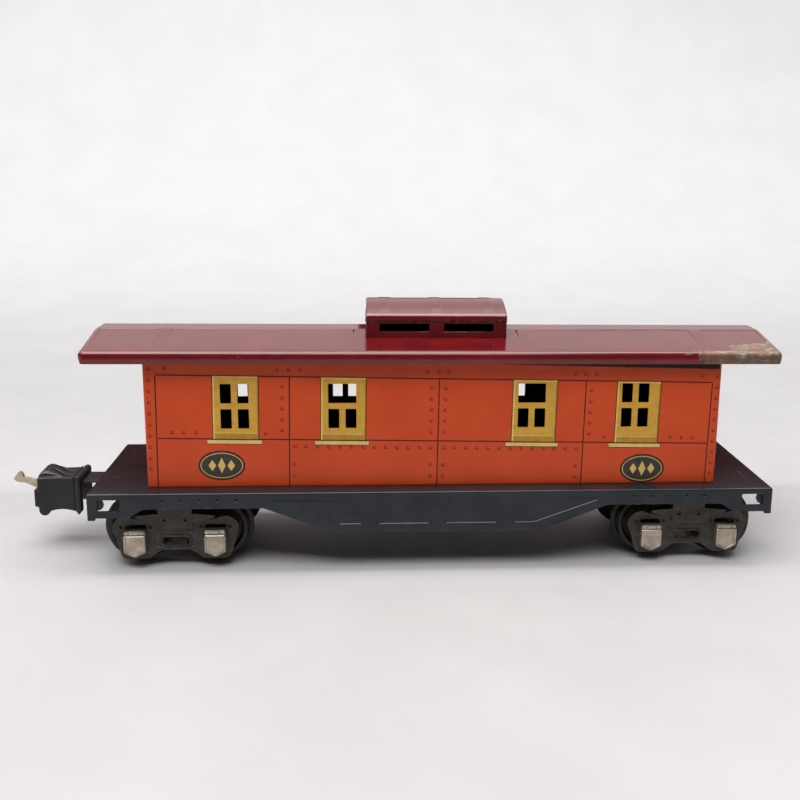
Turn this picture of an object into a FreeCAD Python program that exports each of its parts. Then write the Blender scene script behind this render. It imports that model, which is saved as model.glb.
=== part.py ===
import FreeCAD, Part
import os
from types import SimpleNamespace

import Sketcher

# Tinplate caboose for 31.75 mm (O) gauge track: a pressed frame with a folded body, a drawn
# roof and a cupola, on two swivelling four-wheel trucks, with a box coupler at one end.
# Row frame: +X runs along the car away from the coupler, +Z is up, and the origin is on the
# rail plane under the middle of the frame. All lengths are in millimetres.

SIZES = {
    # frame pressing; depths are measured down from the top of the deck
    "FrameLength": 229.0, "FrameWidth": 62.0, "DeckTop": 28.0, "FrameSheet": 0.8,
    "SillDepth": 5.3, "BellyDepth": 13.95, "BellyHalf": 34.7, "BellyRise": 57.5,
    "EndSillDepth": 8.2, "EndSillStart": 101.3, "EndSillSlope": 96.5,
    "PostWidth": 2.5, "PostDepth": 9.0,
    "SillSlotInner": 103.8, "SillSlotOuter": 111.2, "SillSlotTop": 2.0, "SillSlotBottom": 5.9,
    "PanelTop": 2.4, "PanelBottom": 11.45, "PanelRecess": 0.4, "PanelInner": 1.94,
    "PanelOuter": 20.6, "TrussInner": 24.45, "TrussKnee": 32.5, "TrussOuter": 54.3,
    "TrussEnd": 3.9, "DimpleCentre": 78.5, "DimplePitch": 6.03, "DimpleDepth": 2.5,
    "DimpleRadius": 0.55, "DimpleRecess": 0.3,
    "FlangeInner": 22.5, "NotchHalf": 12.5, "NotchDepth": 2.0, "NotchBendY": 18.9,
    "NotchBendDepth": 4.8, "PlatformSlotX": 109.0, "PlatformSlotNear": 14.2,
    "PlatformSlotFar": 18.9, "PlatformSlotLong": 6.3, "PlatformSlotWide": 0.7,
    # body, with window holes given by their centres along the car
    "BodyHalfLength": 96.0, "BodyHalfWidth": 24.0, "BodySheet": 0.5, "BodyTop": 74.5,
    "GableTop": 77.7, "TabPitch": 60.0, "TabLong": 6.0, "TabFold": 3.0, "TabGap": 0.1,
    "OuterWindow": 66.8, "InnerWindow": 31.6, "PaneWide": 3.55, "PaneGap": 2.1,
    "PaneHigh": 6.5, "UpperPane": 56.6, "LowerPane": 48.1,
    "DoorPaneHalf": 3.6, "DoorPaneLow": 50.0, "DoorPaneHigh": 62.0,
    # roof and cupola
    "RoofHalfLength": 115.2, "RoofHalfWidth": 28.5, "EaveBottom": 70.5, "EaveTop": 74.5,
    "EndSkirtBottom": 72.3,
    "CrestHalf": 5.0, "CrestTop": 78.4, "RoofSheet": 0.6,
    "CupolaHalfLength": 23.75, "CupolaHalfWidth": 14.7, "CupolaSheet": 0.5,
    "CupolaBase": 76.96, "ArchInset": 0.2, "LipBottom": 82.9, "LipTop": 84.25, "ArchTop": 88.2,
    "BandRise": 0.3, "BandWidth": 4.0, "BandPitch": 17.5,
    "CupolaPaneInner": 2.5, "CupolaPaneOuter": 19.25, "CupolaPaneLow": 78.9,
    "CupolaPaneHigh": 81.6,
    # trucks, with heights above the rail plane
    "TruckCentre": 87.5, "AxleHalfBase": 13.2, "AxleHeight": 11.9, "BolsterHalf": 5.6,
    "BolsterTop": 23.9, "BolsterSheet": 1.0, "BolsterHalfSpan": 25.0, "TabBottom": 14.1,
    "ArmRootLow": 15.6, "ArmRootHigh": 19.1, "ArmReach": 12.6, "ArmTipLow": 17.4,
    "ArmTipHigh": 18.5, "ArmTipReach": 13.1,
    "SideSheet": 1.0, "BarHalf": 4.8, "BarBottom": 6.1, "LobeInner": 9.4, "LobeOuter": 17.8,
    "LobeBottom": 2.9, "LobeSideHeight": 11.0, "LobeSide": 20.2, "LobeShoulder": 15.2,
    "LobeShoulderX": 20.6, "LobeArchX": 14.3, "LobeArchTop": 17.2, "LobeNeckX": 7.4,
    "LobeNeck": 15.8, "BarTop": 14.6, "UprightHalf": 5.0,
    "BarSlotHalf": 4.65, "BarSlotLow": 7.9, "BarSlotHigh": 10.7,
    "VentHalf": 3.5, "VentLow": 13.6, "VentHigh": 15.0,
    "RivetHalfPitch": 3.4, "RivetHeight": 17.1, "RivetRadius": 0.65, "RivetBore": 0.4,
    "RivetBoreDepth": 0.5,
    "CoverHalf": 3.65, "CoverTop": 13.9, "CoverShoulder": 6.2, "CoverPoint": 4.3,
    "CoverDepth": 3.4, "CoverSheet": 0.5, "CoverPointSheet": 0.55,
    "PinRadius": 2.0, "PinHeadRadius": 3.2, "PinHeadHeight": 0.7, "PinTop": 30.0,
    "GrooveRadius": 1.5, "ClipRadius": 4.0, "ClipSheet": 0.8, "ClipGap": 0.1,
    "ClipMouthHalf": 1.35,
    "BushRadius": 4.5, "SwivelGap": 0.1, "RunningGap": 0.06,
    # wheels and axles, measured outward from the back of the wheel
    "BackHalf": 14.3, "FlangeRadius": 11.9, "FlangeWidth": 1.3, "TreadRadius": 10.5,
    "FlangeBackEase": 0.5, "FlangeTipEase": 0.3, "FlangeTipWidth": 1.1,
    "TreadEndRadius": 10.2, "WheelWidth": 5.4, "WebDepth": 1.8, "RimInner": 8.7,
    "WebEase": 0.4, "HubRadius": 3.0, "AxleRadius": 1.55, "JournalRadius": 1.1, "JournalStart": 22.7,
    "AxleHalfLength": 26.3,
    # coupler
    "StrapHalf": 5.5, "StrapBottom": 24.0, "StrapSheet": 0.8, "StrapEnd": 131.5,
    "BoxFront": 137.0, "BoxBack": 122.0, "BoxHalf": 7.1, "BoxWall": 1.3, "BoxTop": 26.2,
    "BoxRoof": 1.4, "BoxBottom": 14.8, "FrontLobeX": 135.1, "FrontLobeBottom": 12.7,
    "LobeBackRise": 1.5, "ConcaveX": 128.3, "HoodHalf": 5.6, "HoodFront": 26.4,
    "HoodCrestX": 135.5, "HoodCrest": 28.1, "HoodBack": 133.3, "HoodBackTop": 28.0,
    "HoodFoot": 128.6,
    "RearRibTop": 26.9, "RearRibDepth": 2.6, "RearRibFoot": 3.4, "RearRibBottom": 13.1,
    "RearRibHalf": 7.8,
    "GuardSheet": 1.2, "GuardLow": 16.0, "GuardHigh": 22.2, "GuardInner": 3.2,
    "SlotAlong": 7.2, "SlotAcross": 3.4, "SlotWide": 1.3, "SlotX": 133.0,
    "SlotNear": -1.2, "SlotFar": 4.0, "SlotDepth": 0.7,
    "HookPivotX": 127.0, "HookPivotZ": 21.4, "HookEye": 2.2, "HookSheet": 1.8,
    "HookHeelX": 11.9, "HookHeelDrop": 0.4, "HookNeckX": 15.9, "HookNeckLow": 1.5,
    "HookChinX": 18.8, "HookChin": 1.9, "HookTipX": 19.8, "HookTip": 2.9,
    "HookBarbX": 17.7, "HookBarb": 5.7, "HookBarbBackX": 16.7, "HookBarbBack": 4.6,
    "HookThroatX": 16.3, "HookThroat": 3.3, "HookArmX": 12.5, "HookArmTop": 2.5,
    "HookPinRadius": 1.0, "HookPinHalf": 6.6, "SpringInner": 1.15, "SpringOuter": 1.75,
    "SpringStart": 1.4, "SpringLong": 3.0,
    "BoxRivetX": 123.4, "BoxRivetY": 3.5, "BoxRivetRadius": 0.9, "BoxRivetHead": 1.5,
    "BoxRivetHeadHigh": 0.5, "BoxRivetHeadEdge": 0.3,
}


class Dim:
    """A length together with the spreadsheet formula that gives it."""

    def __init__(self, text, value):
        self.text = text
        self.value = value

    def __add__(self, other):
        return Dim(f"({self.text} + {formula(other)})", self.value + number(other))

    def __sub__(self, other):
        return Dim(f"({self.text} - {formula(other)})", self.value - number(other))

    def __mul__(self, other):
        return Dim(f"({self.text} * {formula(other)})", self.value * number(other))

    def __neg__(self):
        return Dim(f"(-1 * {self.text})", -self.value)


def number(item):
    return item.value if isinstance(item, Dim) else float(item)


def formula(item):
    return item.text if isinstance(item, Dim) else f"({float(item)})"


def bind(thing, prop, amount):
    thing.setExpression(prop, formula(amount))


def read_sizes(document):
    """Put the sizes in the spreadsheet and return one Dim for each alias."""
    sheet = document.addObject("Spreadsheet::Sheet", "Sizes")
    dims = {}
    for row, (alias, length) in enumerate(SIZES.items(), start=1):
        sheet.set(f"A{row}", alias)
        sheet.set(f"B{row}", str(length))
        sheet.setAlias(f"B{row}", alias)
        dims[alias] = Dim(f"Sizes.{alias}", length)
    document.recompute()
    return SimpleNamespace(**dims)


doc = FreeCAD.newDocument("Caboose")
size = read_sizes(doc)
nodes = []
cuts = []

# ---------------------------------------------------------------- sketch and feature helpers
# The sketch planes look along the row's axes: XY faces +Z, YZ faces +X and XZ faces -Y.

FACING = {"XY_Plane": 1, "YZ_Plane": 1, "XZ_Plane": -1}


def new_body(label, x=0, y=0, z=0, node=True):
    body = doc.addObject("PartDesign::Body", "Body")
    body.Label = label
    bind(body, "Placement.Base.x", x)
    bind(body, "Placement.Base.y", y)
    bind(body, "Placement.Base.z", z)
    if node:
        nodes.append(body)
    return body


def pin_point(sketch, geometry, position, x, y):
    """Hold one point of the sketch at (x, y) from the sketch's origin."""
    for kind, amount in (("DistanceX", x), ("DistanceY", y)):
        constraint = Sketcher.Constraint(kind, -1, 1, geometry, position, number(amount))
        index = sketch.addConstraint(constraint)
        bind(sketch, f"Constraints[{index}]", amount)


def vector(x, y):
    return FreeCAD.Vector(number(x), number(y), 0)


def draw_circle(sketch, circle):
    _, x, y, radius = circle
    ring = Part.Circle(vector(x, y), FreeCAD.Vector(0, 0, 1), number(radius))
    geometry = sketch.addGeometry(ring)
    pin_point(sketch, geometry, 3, x, y)
    index = sketch.addConstraint(Sketcher.Constraint("Radius", geometry, number(radius)))
    bind(sketch, f"Constraints[{index}]", radius)


def draw_outline(sketch, corners):
    """A closed outline. A corner of four values leaves along an arc through its last two."""
    edges = []
    for corner, following in zip(corners, corners[1:] + corners[:1]):
        start, end = vector(*corner[:2]), vector(*following[:2])
        if len(corner) == 2:
            geometry = sketch.addGeometry(Part.LineSegment(start, end))
            edges.append((geometry, 1, 2))
            continue
        through = vector(*corner[2:])
        geometry = sketch.addGeometry(Part.Arc(start, through, end))
        turns_left = (through - start).cross(end - through).z > 0
        edges.append((geometry, 1, 2) if turns_left else (geometry, 2, 1))
        marker = sketch.addGeometry(Part.Point(through), True)
        pin_point(sketch, marker, 1, *corner[2:])
        sketch.addConstraint(Sketcher.Constraint("PointOnObject", marker, 1, geometry))
    for place, (geometry, first, last) in enumerate(edges):
        pin_point(sketch, geometry, first, *corners[place][:2])
        following, next_first, _ = edges[(place + 1) % len(edges)]
        sketch.addConstraint(
            Sketcher.Constraint("Coincident", geometry, last, following, next_first))


def new_sketch(body, role, outlines, offset):
    plane = next(item for item in body.Origin.OriginFeatures if item.Role == role)
    sketch = body.newObject("Sketcher::SketchObject", "Sketch")
    sketch.AttachmentSupport = [(plane, "")]
    sketch.MapMode = "FlatFace"
    bind(sketch, "AttachmentOffset.Base.z", offset)
    for outline in outlines:
        if outline[0] == "circle":
            draw_circle(sketch, outline)
        else:
            draw_outline(sketch, outline)
    return sketch


def pad(body, role, outlines, start, thickness):
    """Solid from start to start + thickness along the row axis across the plane."""
    offset = start if FACING[role] > 0 else -(thickness + start)
    feature = body.newObject("PartDesign::Pad", "Pad")
    feature.Profile = new_sketch(body, role, outlines, offset)
    bind(feature, "Length", thickness)
    return feature


def pocket(body, role, outlines, start, thickness):
    """Remove from start to start + thickness along the row axis across the plane."""
    before = body.Tip
    offset = thickness + start if FACING[role] > 0 else start * -1.0
    feature = body.newObject("PartDesign::Pocket", "Pocket")
    feature.Profile = new_sketch(body, role, outlines, offset)
    bind(feature, "Length", thickness)
    cuts.append((before, feature))
    return feature


def revolve(body, role, outline):
    """Turn an outline of (radius, height) corners about the sketch's vertical axis."""
    sketch = new_sketch(body, role, [outline], 0)
    feature = body.newObject("PartDesign::Revolution", "Revolution")
    feature.Profile = sketch
    feature.ReferenceAxis = (sketch, ["V_Axis"])
    feature.Angle = 360
    return feature


def rectangle(x_low, y_low, x_high, y_high):
    return [(x_low, y_low), (x_high, y_low), (x_high, y_high), (x_low, y_high)]


def around(x, y, half_x, half_y):
    """A rectangle about a centre."""
    return rectangle(x - half_x, y - half_y, x + half_x, y + half_y)


def both_ways(half):
    """A full outline from the corners of its +X half, listed from bottom to top.

    An arc in the list runs upward on the +X side and downward on the mirrored side.
    """
    mirrored = []
    for place in range(len(half) - 1, -1, -1):
        x, y = half[place][:2]
        arc = half[place - 1][2:] if place else ()
        mirrored.append((-x, y) + ((-arc[0], arc[1]) if arc else ()))
    return half + mirrored


def group(label, members):
    """One node that holds several like solids."""
    compound = doc.addObject("Part::Compound", "Group")
    compound.Label = label
    compound.Links = members
    nodes.append(compound)
    return compound


zero = size.DeckTop * 0.0

# ---------------------------------------------------------------- frame pressing


def sill_outline():
    """Side sill with its deep middle and its deeper ends."""
    top = size.DeckTop
    half = size.FrameLength * 0.5
    return both_ways([
        (size.BellyHalf, top - size.BellyDepth),
        (size.BellyRise, top - size.SillDepth),
        (size.EndSillSlope, top - size.SillDepth),
        (size.EndSillStart, top - size.EndSillDepth),
        (half - size.PostWidth, top - size.EndSillDepth),
        (half - size.PostWidth, top - size.PostDepth),
        (half, top - size.PostDepth),
        (half, top),
    ])


def sill_slot(side):
    """Open window near the end of a sill; side is -1 or 1."""
    low, high = size.DeckTop - size.SillSlotBottom, size.DeckTop - size.SillSlotTop
    ends = sorted((size.SillSlotInner * side, size.SillSlotOuter * side), key=number)
    return rectangle(ends[0], low, ends[1], high)


def pressed_panels():
    """A rectangle and a sloped panel at each side of the middle."""
    low, high = size.DeckTop - size.PanelBottom, size.DeckTop - size.PanelTop
    outlines = []
    for side in (-1, 1):
        ends = sorted((size.PanelInner * side, size.PanelOuter * side), key=number)
        outlines.append(rectangle(ends[0], low, ends[1], high))
        outlines.append([
            (size.TrussInner * side, low),
            (size.TrussKnee * side, low),
            (size.TrussOuter * side, size.DeckTop - size.TrussEnd),
            (size.TrussOuter * side, high),
            (size.TrussInner * side, high),
        ])
    return outlines


def sill_dimples():
    """Five small punched dimples over each truck."""
    height = size.DeckTop - size.DimpleDepth
    return [
        ("circle", size.DimpleCentre * side + size.DimplePitch * step, height,
         size.DimpleRadius)
        for side in (-1, 1) for step in (-2, -1, 0, 1, 2)
    ]


def end_flange_outline():
    """End flange: deep at the corners, with a rounded notch for the coupler strap."""
    top = size.DeckTop
    half = size.FrameWidth * 0.5
    corner = (size.FlangeInner, top - size.PostDepth)
    bend = (size.NotchBendY, top - size.NotchBendDepth)
    notch = (size.NotchHalf, top - size.NotchDepth)
    return [
        corner, (half, top - size.PostDepth), (half, top), (-half, top),
        (-half, top - size.PostDepth), (-corner[0], corner[1], -bend[0], bend[1]),
        (-notch[0], notch[1]), notch + bend,
    ]


def build_frame():
    body = new_body("frame_pressing")
    sheet = size.FrameSheet
    half_long, half_wide = size.FrameLength * 0.5, size.FrameWidth * 0.5
    swivel = size.PinRadius + size.RunningGap
    holes = [("circle", size.TruckCentre * side, zero, swivel) for side in (-1, 1)]
    for side in (-1, 1):
        for middle in (-size.PlatformSlotNear, size.PlatformSlotFar):
            holes.append(around(size.PlatformSlotX * side, middle,
                                size.PlatformSlotWide * 0.5, size.PlatformSlotLong * 0.5))
        for step in (-1, 0, 1):
            middle = (size.BodyHalfWidth - size.BodySheet * 0.5) * side
            holes.append(around(size.TabPitch * step, middle,
                                size.TabLong * 0.5 + size.TabGap,
                                size.BodySheet * 0.5 + size.TabGap))
    deck = rectangle(-half_long, -half_wide, half_long, half_wide)
    pad(body, "XY_Plane", [deck] + holes, size.DeckTop - sheet, sheet)
    recess = size.PanelRecess
    for wall_start, back_start, panel_start, dimple_start in (
            (-half_wide, sheet - half_wide, -half_wide, -half_wide),
            (half_wide - sheet, half_wide - sheet - recess, half_wide - recess,
             half_wide - size.DimpleRecess)):
        pad(body, "XZ_Plane", [sill_outline(), sill_slot(-1), sill_slot(1)],
            wall_start, sheet)
        pad(body, "XZ_Plane", pressed_panels(), back_start, recess)
        pocket(body, "XZ_Plane", pressed_panels(), panel_start, recess)
        pocket(body, "XZ_Plane", sill_dimples(), dimple_start, size.DimpleRecess)
    for flange_start in (-half_long, half_long - sheet):
        pad(body, "YZ_Plane", [end_flange_outline()], flange_start, sheet)


# ---------------------------------------------------------------- body, roof and cupola


def window_holes(side):
    """Pane holes of one side wall; side is -1 for the wall at -Y."""
    outlines = []
    for place in (-1, 1):
        outer, inner = size.OuterWindow * place, size.InnerWindow * place
        step = (size.PaneWide + size.PaneGap) * 0.5
        half, half_high = size.PaneWide * 0.5, size.PaneHigh * 0.5
        for low in (size.UpperPane, size.LowerPane):
            for centre in (outer - step, outer + step):
                outlines.append(around(centre, low + half_high, half, half_high))
        for centre in (inner - step, inner + step):
            outlines.append(around(centre, size.LowerPane + half_high, half, half_high))
        outlines.append(around(inner, size.UpperPane + half_high, step + half, half_high))
    return outlines


def build_body():
    body = new_body("body_shell")
    sheet = size.BodySheet
    long, wide = size.BodyHalfLength, size.BodyHalfWidth
    wall = rectangle(-long, size.DeckTop, long, size.BodyTop)
    tab_drop = size.FrameSheet + sheet
    for side, start in ((-1, -wide), (1, wide - sheet)):
        pad(body, "XZ_Plane", [wall] + window_holes(side), start, sheet)
        for step in (-1, 0, 1):
            half = size.TabLong * 0.5
            low = size.DeckTop - tab_drop
            stem = rectangle(size.TabPitch * step - half, low,
                             size.TabPitch * step + half, size.DeckTop)
            pad(body, "XZ_Plane", [stem], start, sheet)
            fold = rectangle(size.TabPitch * step - half, low,
                             size.TabPitch * step + half, low + sheet)
            fold_start = start if side < 0 else start - size.TabFold + sheet
            pad(body, "XZ_Plane", [fold], fold_start, size.TabFold)
    gable = [(-wide, size.DeckTop), (wide, size.DeckTop), (wide, size.BodyTop),
             (size.CrestHalf, size.GableTop), (-size.CrestHalf, size.GableTop),
             (-wide, size.BodyTop)]
    pane = rectangle(-size.DoorPaneHalf, size.DoorPaneLow,
                     size.DoorPaneHalf, size.DoorPaneHigh)
    for start in (-long, long - sheet):
        pad(body, "YZ_Plane", [gable, pane], start, sheet)


def roof_outline(inset):
    """Cross-section of the roof, drawn in by inset on every side but the bottom."""
    half, low = size.RoofHalfWidth - inset, size.EaveBottom
    eave, crest = size.EaveTop - inset, size.CrestTop - inset
    return [(-half, low), (half, low), (half, eave), (size.CrestHalf, crest),
            (-size.CrestHalf, crest), (-half, eave)]


def build_roof():
    body = new_body("roof")
    sheet = size.RoofSheet
    pad(body, "YZ_Plane", [roof_outline(zero)], -size.RoofHalfLength,
        size.RoofHalfLength * 2.0)
    pocket(body, "YZ_Plane", [roof_outline(sheet)], sheet - size.RoofHalfLength,
           (size.RoofHalfLength - sheet) * 2.0)
    inner = size.RoofHalfWidth - sheet
    pocket(body, "YZ_Plane", [rectangle(-inner, size.EaveBottom, inner, size.EndSkirtBottom)],
           -size.RoofHalfLength, size.RoofHalfLength * 2.0)


def arch(half, base, top, foot):
    """Closed section with an arched top from -half to half."""
    return [(-half, foot), (half, foot), (half, base, zero, top), (-half, base)]


def build_cupola():
    sheet = size.CupolaSheet
    long = size.CupolaHalfLength
    wall_half = size.CupolaHalfWidth - sheet
    wall_top = size.LipTop - size.ArchInset
    walls = new_body("cupola_walls")
    side = rectangle(-long, size.CupolaBase, long, wall_top)
    panes = [
        rectangle(-size.CupolaPaneOuter, size.CupolaPaneLow,
                  -size.CupolaPaneInner, size.CupolaPaneHigh),
        rectangle(size.CupolaPaneInner, size.CupolaPaneLow,
                  size.CupolaPaneOuter, size.CupolaPaneHigh),
    ]
    for start in (-wall_half, wall_half - sheet):
        pad(walls, "XZ_Plane", [side] + panes, start, sheet)
    end = [(-wall_half, size.CupolaBase), (-size.CrestHalf, size.CrestTop),
           (size.CrestHalf, size.CrestTop), (wall_half, size.CupolaBase),
           (wall_half, wall_top, zero, size.ArchTop - sheet), (-wall_half, wall_top)]
    for start in (-long, long - sheet):
        pad(walls, "YZ_Plane", [end], start, sheet)
    cover = new_body("cupola_roof")
    outer = arch(size.CupolaHalfWidth, size.LipTop, size.ArchTop, size.LipBottom)
    inner = arch(wall_half, wall_top, size.ArchTop - sheet, size.LipBottom)
    pad(cover, "YZ_Plane", [outer], -long, long * 2.0)
    band = arch(size.CupolaHalfWidth, size.LipTop, size.ArchTop + size.BandRise,
                size.LipBottom)
    for step in (-1, 0, 1):
        pad(cover, "YZ_Plane", [band],
            size.BandPitch * step - size.BandWidth * 0.5, size.BandWidth)
    pocket(cover, "YZ_Plane", [inner], -long, long * 2.0)


# ---------------------------------------------------------------- trucks


def bolster_tab():
    """End of the bolster: the riveted plate with a spring-like arm at each side."""
    return both_ways([
        (size.BolsterHalf, size.TabBottom),
        (size.BolsterHalf, size.ArmRootLow),
        (size.ArmReach, size.ArmTipLow, size.ArmTipReach,
         (size.ArmTipLow + size.ArmTipHigh) * 0.5),
        (size.ArmReach, size.ArmTipHigh),
        (size.BolsterHalf, size.ArmRootHigh),
        (size.BolsterHalf, size.BolsterTop),
    ])


def side_frame_outline():
    """Side frame: a slotted bar between two lobes that carry the journals."""
    return both_ways([
        (size.BarHalf, size.BarBottom),
        (size.LobeInner, size.LobeBottom),
        (size.LobeOuter, size.LobeBottom),
        (size.LobeSide, size.LobeSideHeight),
        (size.LobeShoulderX, size.LobeShoulder, size.LobeArchX, size.LobeArchTop),
        (size.LobeNeckX, size.LobeNeck),
        (size.UprightHalf, size.BarTop),
        (size.UprightHalf, size.BolsterTop - size.BolsterSheet),
    ])


def side_frame_holes():
    slot_half = (size.BarSlotHigh - size.BarSlotLow) * 0.5
    straight = size.BarSlotHalf - slot_half
    middle = size.BarSlotLow + slot_half
    outlines = [[
        (-straight, size.BarSlotLow),
        (straight, size.BarSlotLow, size.BarSlotHalf, middle),
        (straight, size.BarSlotHigh),
        (-straight, size.BarSlotHigh, -size.BarSlotHalf, middle),
    ]]
    for side in (-1, 1):
        centre = size.AxleHalfBase * side
        outlines.append(("circle", centre, size.AxleHeight,
                         size.JournalRadius + size.RunningGap))
        outlines.append(rectangle(centre - size.VentHalf, size.VentLow,
                                  centre + size.VentHalf, size.VentHigh))
        outlines.append(("circle", size.RivetHalfPitch * side, size.RivetHeight,
                         size.RivetRadius))
    return outlines


def cover_outline(inset, point_inset):
    """Journal cover seen from the side: a box with a pointed foot."""
    half = size.CoverHalf - inset
    return [(-half, size.CoverShoulder), (zero, size.CoverPoint + point_inset),
            (half, size.CoverShoulder), (half, size.CoverTop - inset),
            (-half, size.CoverTop - inset)]


def build_journal_covers(label, truck_x, side_face):
    covers = []
    for axle_side in (-1, 1):
        for side in (-1, 1):
            cover = new_body(f"{label}_{len(covers) + 1}",
                             truck_x + size.AxleHalfBase * axle_side, node=False)
            depth = size.CoverDepth
            sheet = size.CoverSheet
            start = side_face if side > 0 else -(side_face + depth)
            hollow = side_face if side > 0 else sheet - side_face - depth
            pad(cover, "XZ_Plane", [cover_outline(zero, zero)], start, depth)
            pocket(cover, "XZ_Plane", [cover_outline(sheet, size.CoverPointSheet)], hollow,
                   depth - sheet)
            covers.append(cover)
    group(label, covers)


def build_truck_rivets(label, truck_x):
    """Semi-tubular rivets, flush with the bolster tab and hollow at that end."""
    rivets = []
    long = size.BolsterSheet + size.SideSheet
    inner = size.BolsterHalfSpan - long
    bore = size.RivetBoreDepth
    for side in (-1, 1):
        start = inner if side > 0 else -(inner + long)
        bore_start = inner + long - bore if side > 0 else -(inner + long)
        for step in (-1, 1):
            rivet = new_body(f"{label}_{len(rivets) + 1}", truck_x, node=False)
            place = (size.RivetHalfPitch * step, size.RivetHeight)
            pad(rivet, "XZ_Plane", [("circle", *place, size.RivetRadius)], start, long)
            pocket(rivet, "XZ_Plane", [("circle", *place, size.RivetBore)], bore_start, bore)
            rivets.append(rivet)
    group(label, rivets)


def build_bolster(name, truck_x):
    bolster = new_body(f"{name}_bolster", truck_x)
    sheet, span = size.BolsterSheet, size.BolsterHalfSpan
    top = around(zero, zero, size.BolsterHalf, span)
    pad(bolster, "XY_Plane", [top, ("circle", zero, zero, size.PinRadius)],
        size.BolsterTop - sheet, sheet)
    holes = [("circle", size.RivetHalfPitch * step, size.RivetHeight, size.RivetRadius)
             for step in (-1, 1)]
    for start in (-span, span - sheet):
        pad(bolster, "XZ_Plane", [bolster_tab()] + holes, start, sheet)


def build_kingpin(name, truck_x, bush_bottom):
    """Staked stud that carries the car, its spacer bush and its spring clip."""
    pin = new_body(f"{name}_kingpin", truck_x)
    sheet = size.BolsterSheet
    head_top = size.BolsterTop - sheet
    groove_low = size.DeckTop + size.ClipGap
    groove_high = groove_low + size.ClipSheet
    revolve(pin, "XZ_Plane", [
        (zero, head_top - size.PinHeadHeight),
        (size.PinHeadRadius, head_top - size.PinHeadHeight),
        (size.PinHeadRadius, head_top), (size.PinRadius, head_top),
        (size.PinRadius, groove_low), (size.GrooveRadius, groove_low),
        (size.GrooveRadius, groove_high), (size.PinRadius, groove_high),
        (size.PinRadius, size.PinTop), (zero, size.PinTop),
    ])
    bush = new_body(f"{name}_spacer_bush", truck_x)
    deck_bottom = size.DeckTop - size.FrameSheet
    pad(bush, "XY_Plane", [("circle", zero, zero, size.BushRadius),
                           ("circle", zero, zero, size.PinRadius)],
        bush_bottom, deck_bottom - size.SwivelGap - bush_bottom)
    clip = new_body(f"{name}_kingpin_clip", truck_x)
    pad(clip, "XY_Plane", [("circle", zero, zero, size.ClipRadius),
                           ("circle", zero, zero, size.GrooveRadius)],
        groove_low, size.ClipSheet)
    mouth = rectangle(zero, -size.ClipMouthHalf,
                      size.ClipRadius + size.ClipGap, size.ClipMouthHalf)
    pocket(clip, "XY_Plane", [mouth], groove_low, size.ClipSheet)


def wheel_profile(side):
    """Wheel section as (radius, distance along the axle); side gives its facing."""
    back = size.BackHalf * side
    flange = (size.BackHalf + size.FlangeWidth) * side
    face = (size.BackHalf + size.WheelWidth) * side
    web = (size.BackHalf + size.WheelWidth - size.WebDepth) * side
    return [
        (size.AxleRadius, back), (size.FlangeRadius - size.FlangeBackEase, back),
        (size.FlangeRadius, (size.BackHalf + size.FlangeBackEase) * side),
        (size.FlangeRadius - size.FlangeTipEase, (size.BackHalf + size.FlangeTipWidth) * side),
        (size.TreadRadius, flange), (size.TreadEndRadius, face), (size.RimInner, face),
        (size.RimInner - size.WebEase, web), (size.HubRadius + size.WebEase, web),
        (size.HubRadius, face), (size.AxleRadius, face),
    ]


def build_wheelset(name, x):
    axle = new_body(f"{name}_axle", x, zero, size.AxleHeight)
    half, shoulder = size.AxleHalfLength, size.JournalStart
    revolve(axle, "XY_Plane", [
        (zero, -half), (size.JournalRadius, -half), (size.JournalRadius, -shoulder),
        (size.AxleRadius, -shoulder), (size.AxleRadius, shoulder),
        (size.JournalRadius, shoulder), (size.JournalRadius, half), (zero, half),
    ])
    for place, side in (("near", -1), ("far", 1)):
        wheel = new_body(f"{name}_wheel_{place}", x, zero, size.AxleHeight)
        revolve(wheel, "XY_Plane", wheel_profile(side))


def build_truck(name, truck_x, outward, bush_bottom):
    """One truck; outward is the direction from its centre to the nearer car end."""
    build_bolster(name, truck_x)
    side_face = size.BolsterHalfSpan - size.BolsterSheet
    for place, start in (("near", -side_face), ("far", side_face - size.SideSheet)):
        side = new_body(f"{name}_side_frame_{place}", truck_x)
        pad(side, "XZ_Plane", [side_frame_outline()] + side_frame_holes(), start,
            size.SideSheet)
    build_truck_rivets(f"{name}_frame_rivets", truck_x)
    build_journal_covers(f"{name}_journal_covers", truck_x, side_face)
    build_kingpin(name, truck_x, bush_bottom)
    for place, side in (("outer", outward), ("inner", -outward)):
        build_wheelset(f"{name}_{place}", truck_x + size.AxleHalfBase * side)


# ---------------------------------------------------------------- coupler


def box_side_outline():
    """Side of the coupler box: a lobe at the front and a hollow under the middle."""
    lobe_half = size.BoxFront - size.FrontLobeX
    return [
        (-size.BoxFront, size.FrontLobeBottom + lobe_half, -size.FrontLobeX,
         size.FrontLobeBottom),
        (lobe_half - size.FrontLobeX, size.FrontLobeBottom + size.LobeBackRise,
         -size.ConcaveX, size.BoxBottom),
        (-size.BoxBack, size.RearRibBottom),
        (-size.BoxBack, size.BoxTop),
        (-size.BoxFront, size.BoxTop),
    ]


def box_roof_outline():
    """Flat roof of the coupler box with a rib across its back."""
    low = size.BoxTop - size.BoxRoof
    return [
        (-size.BoxFront, low), (-size.BoxBack, low), (-size.BoxBack, size.RearRibTop),
        (-(size.BoxBack + size.RearRibDepth), size.RearRibTop),
        (-(size.BoxBack + size.RearRibFoot), size.BoxTop), (-size.BoxFront, size.BoxTop),
    ]


def box_hood_outline():
    """Rounded hood on the front of the roof, between the box's sides."""
    low = size.BoxTop - size.BoxRoof
    return [
        (-size.BoxFront, low), (-size.HoodFoot, low), (-size.HoodFoot, size.BoxTop),
        (-size.HoodBack, size.HoodBackTop, -size.HoodCrestX, size.HoodCrest),
        (-size.BoxFront, size.HoodFront),
    ]


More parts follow.
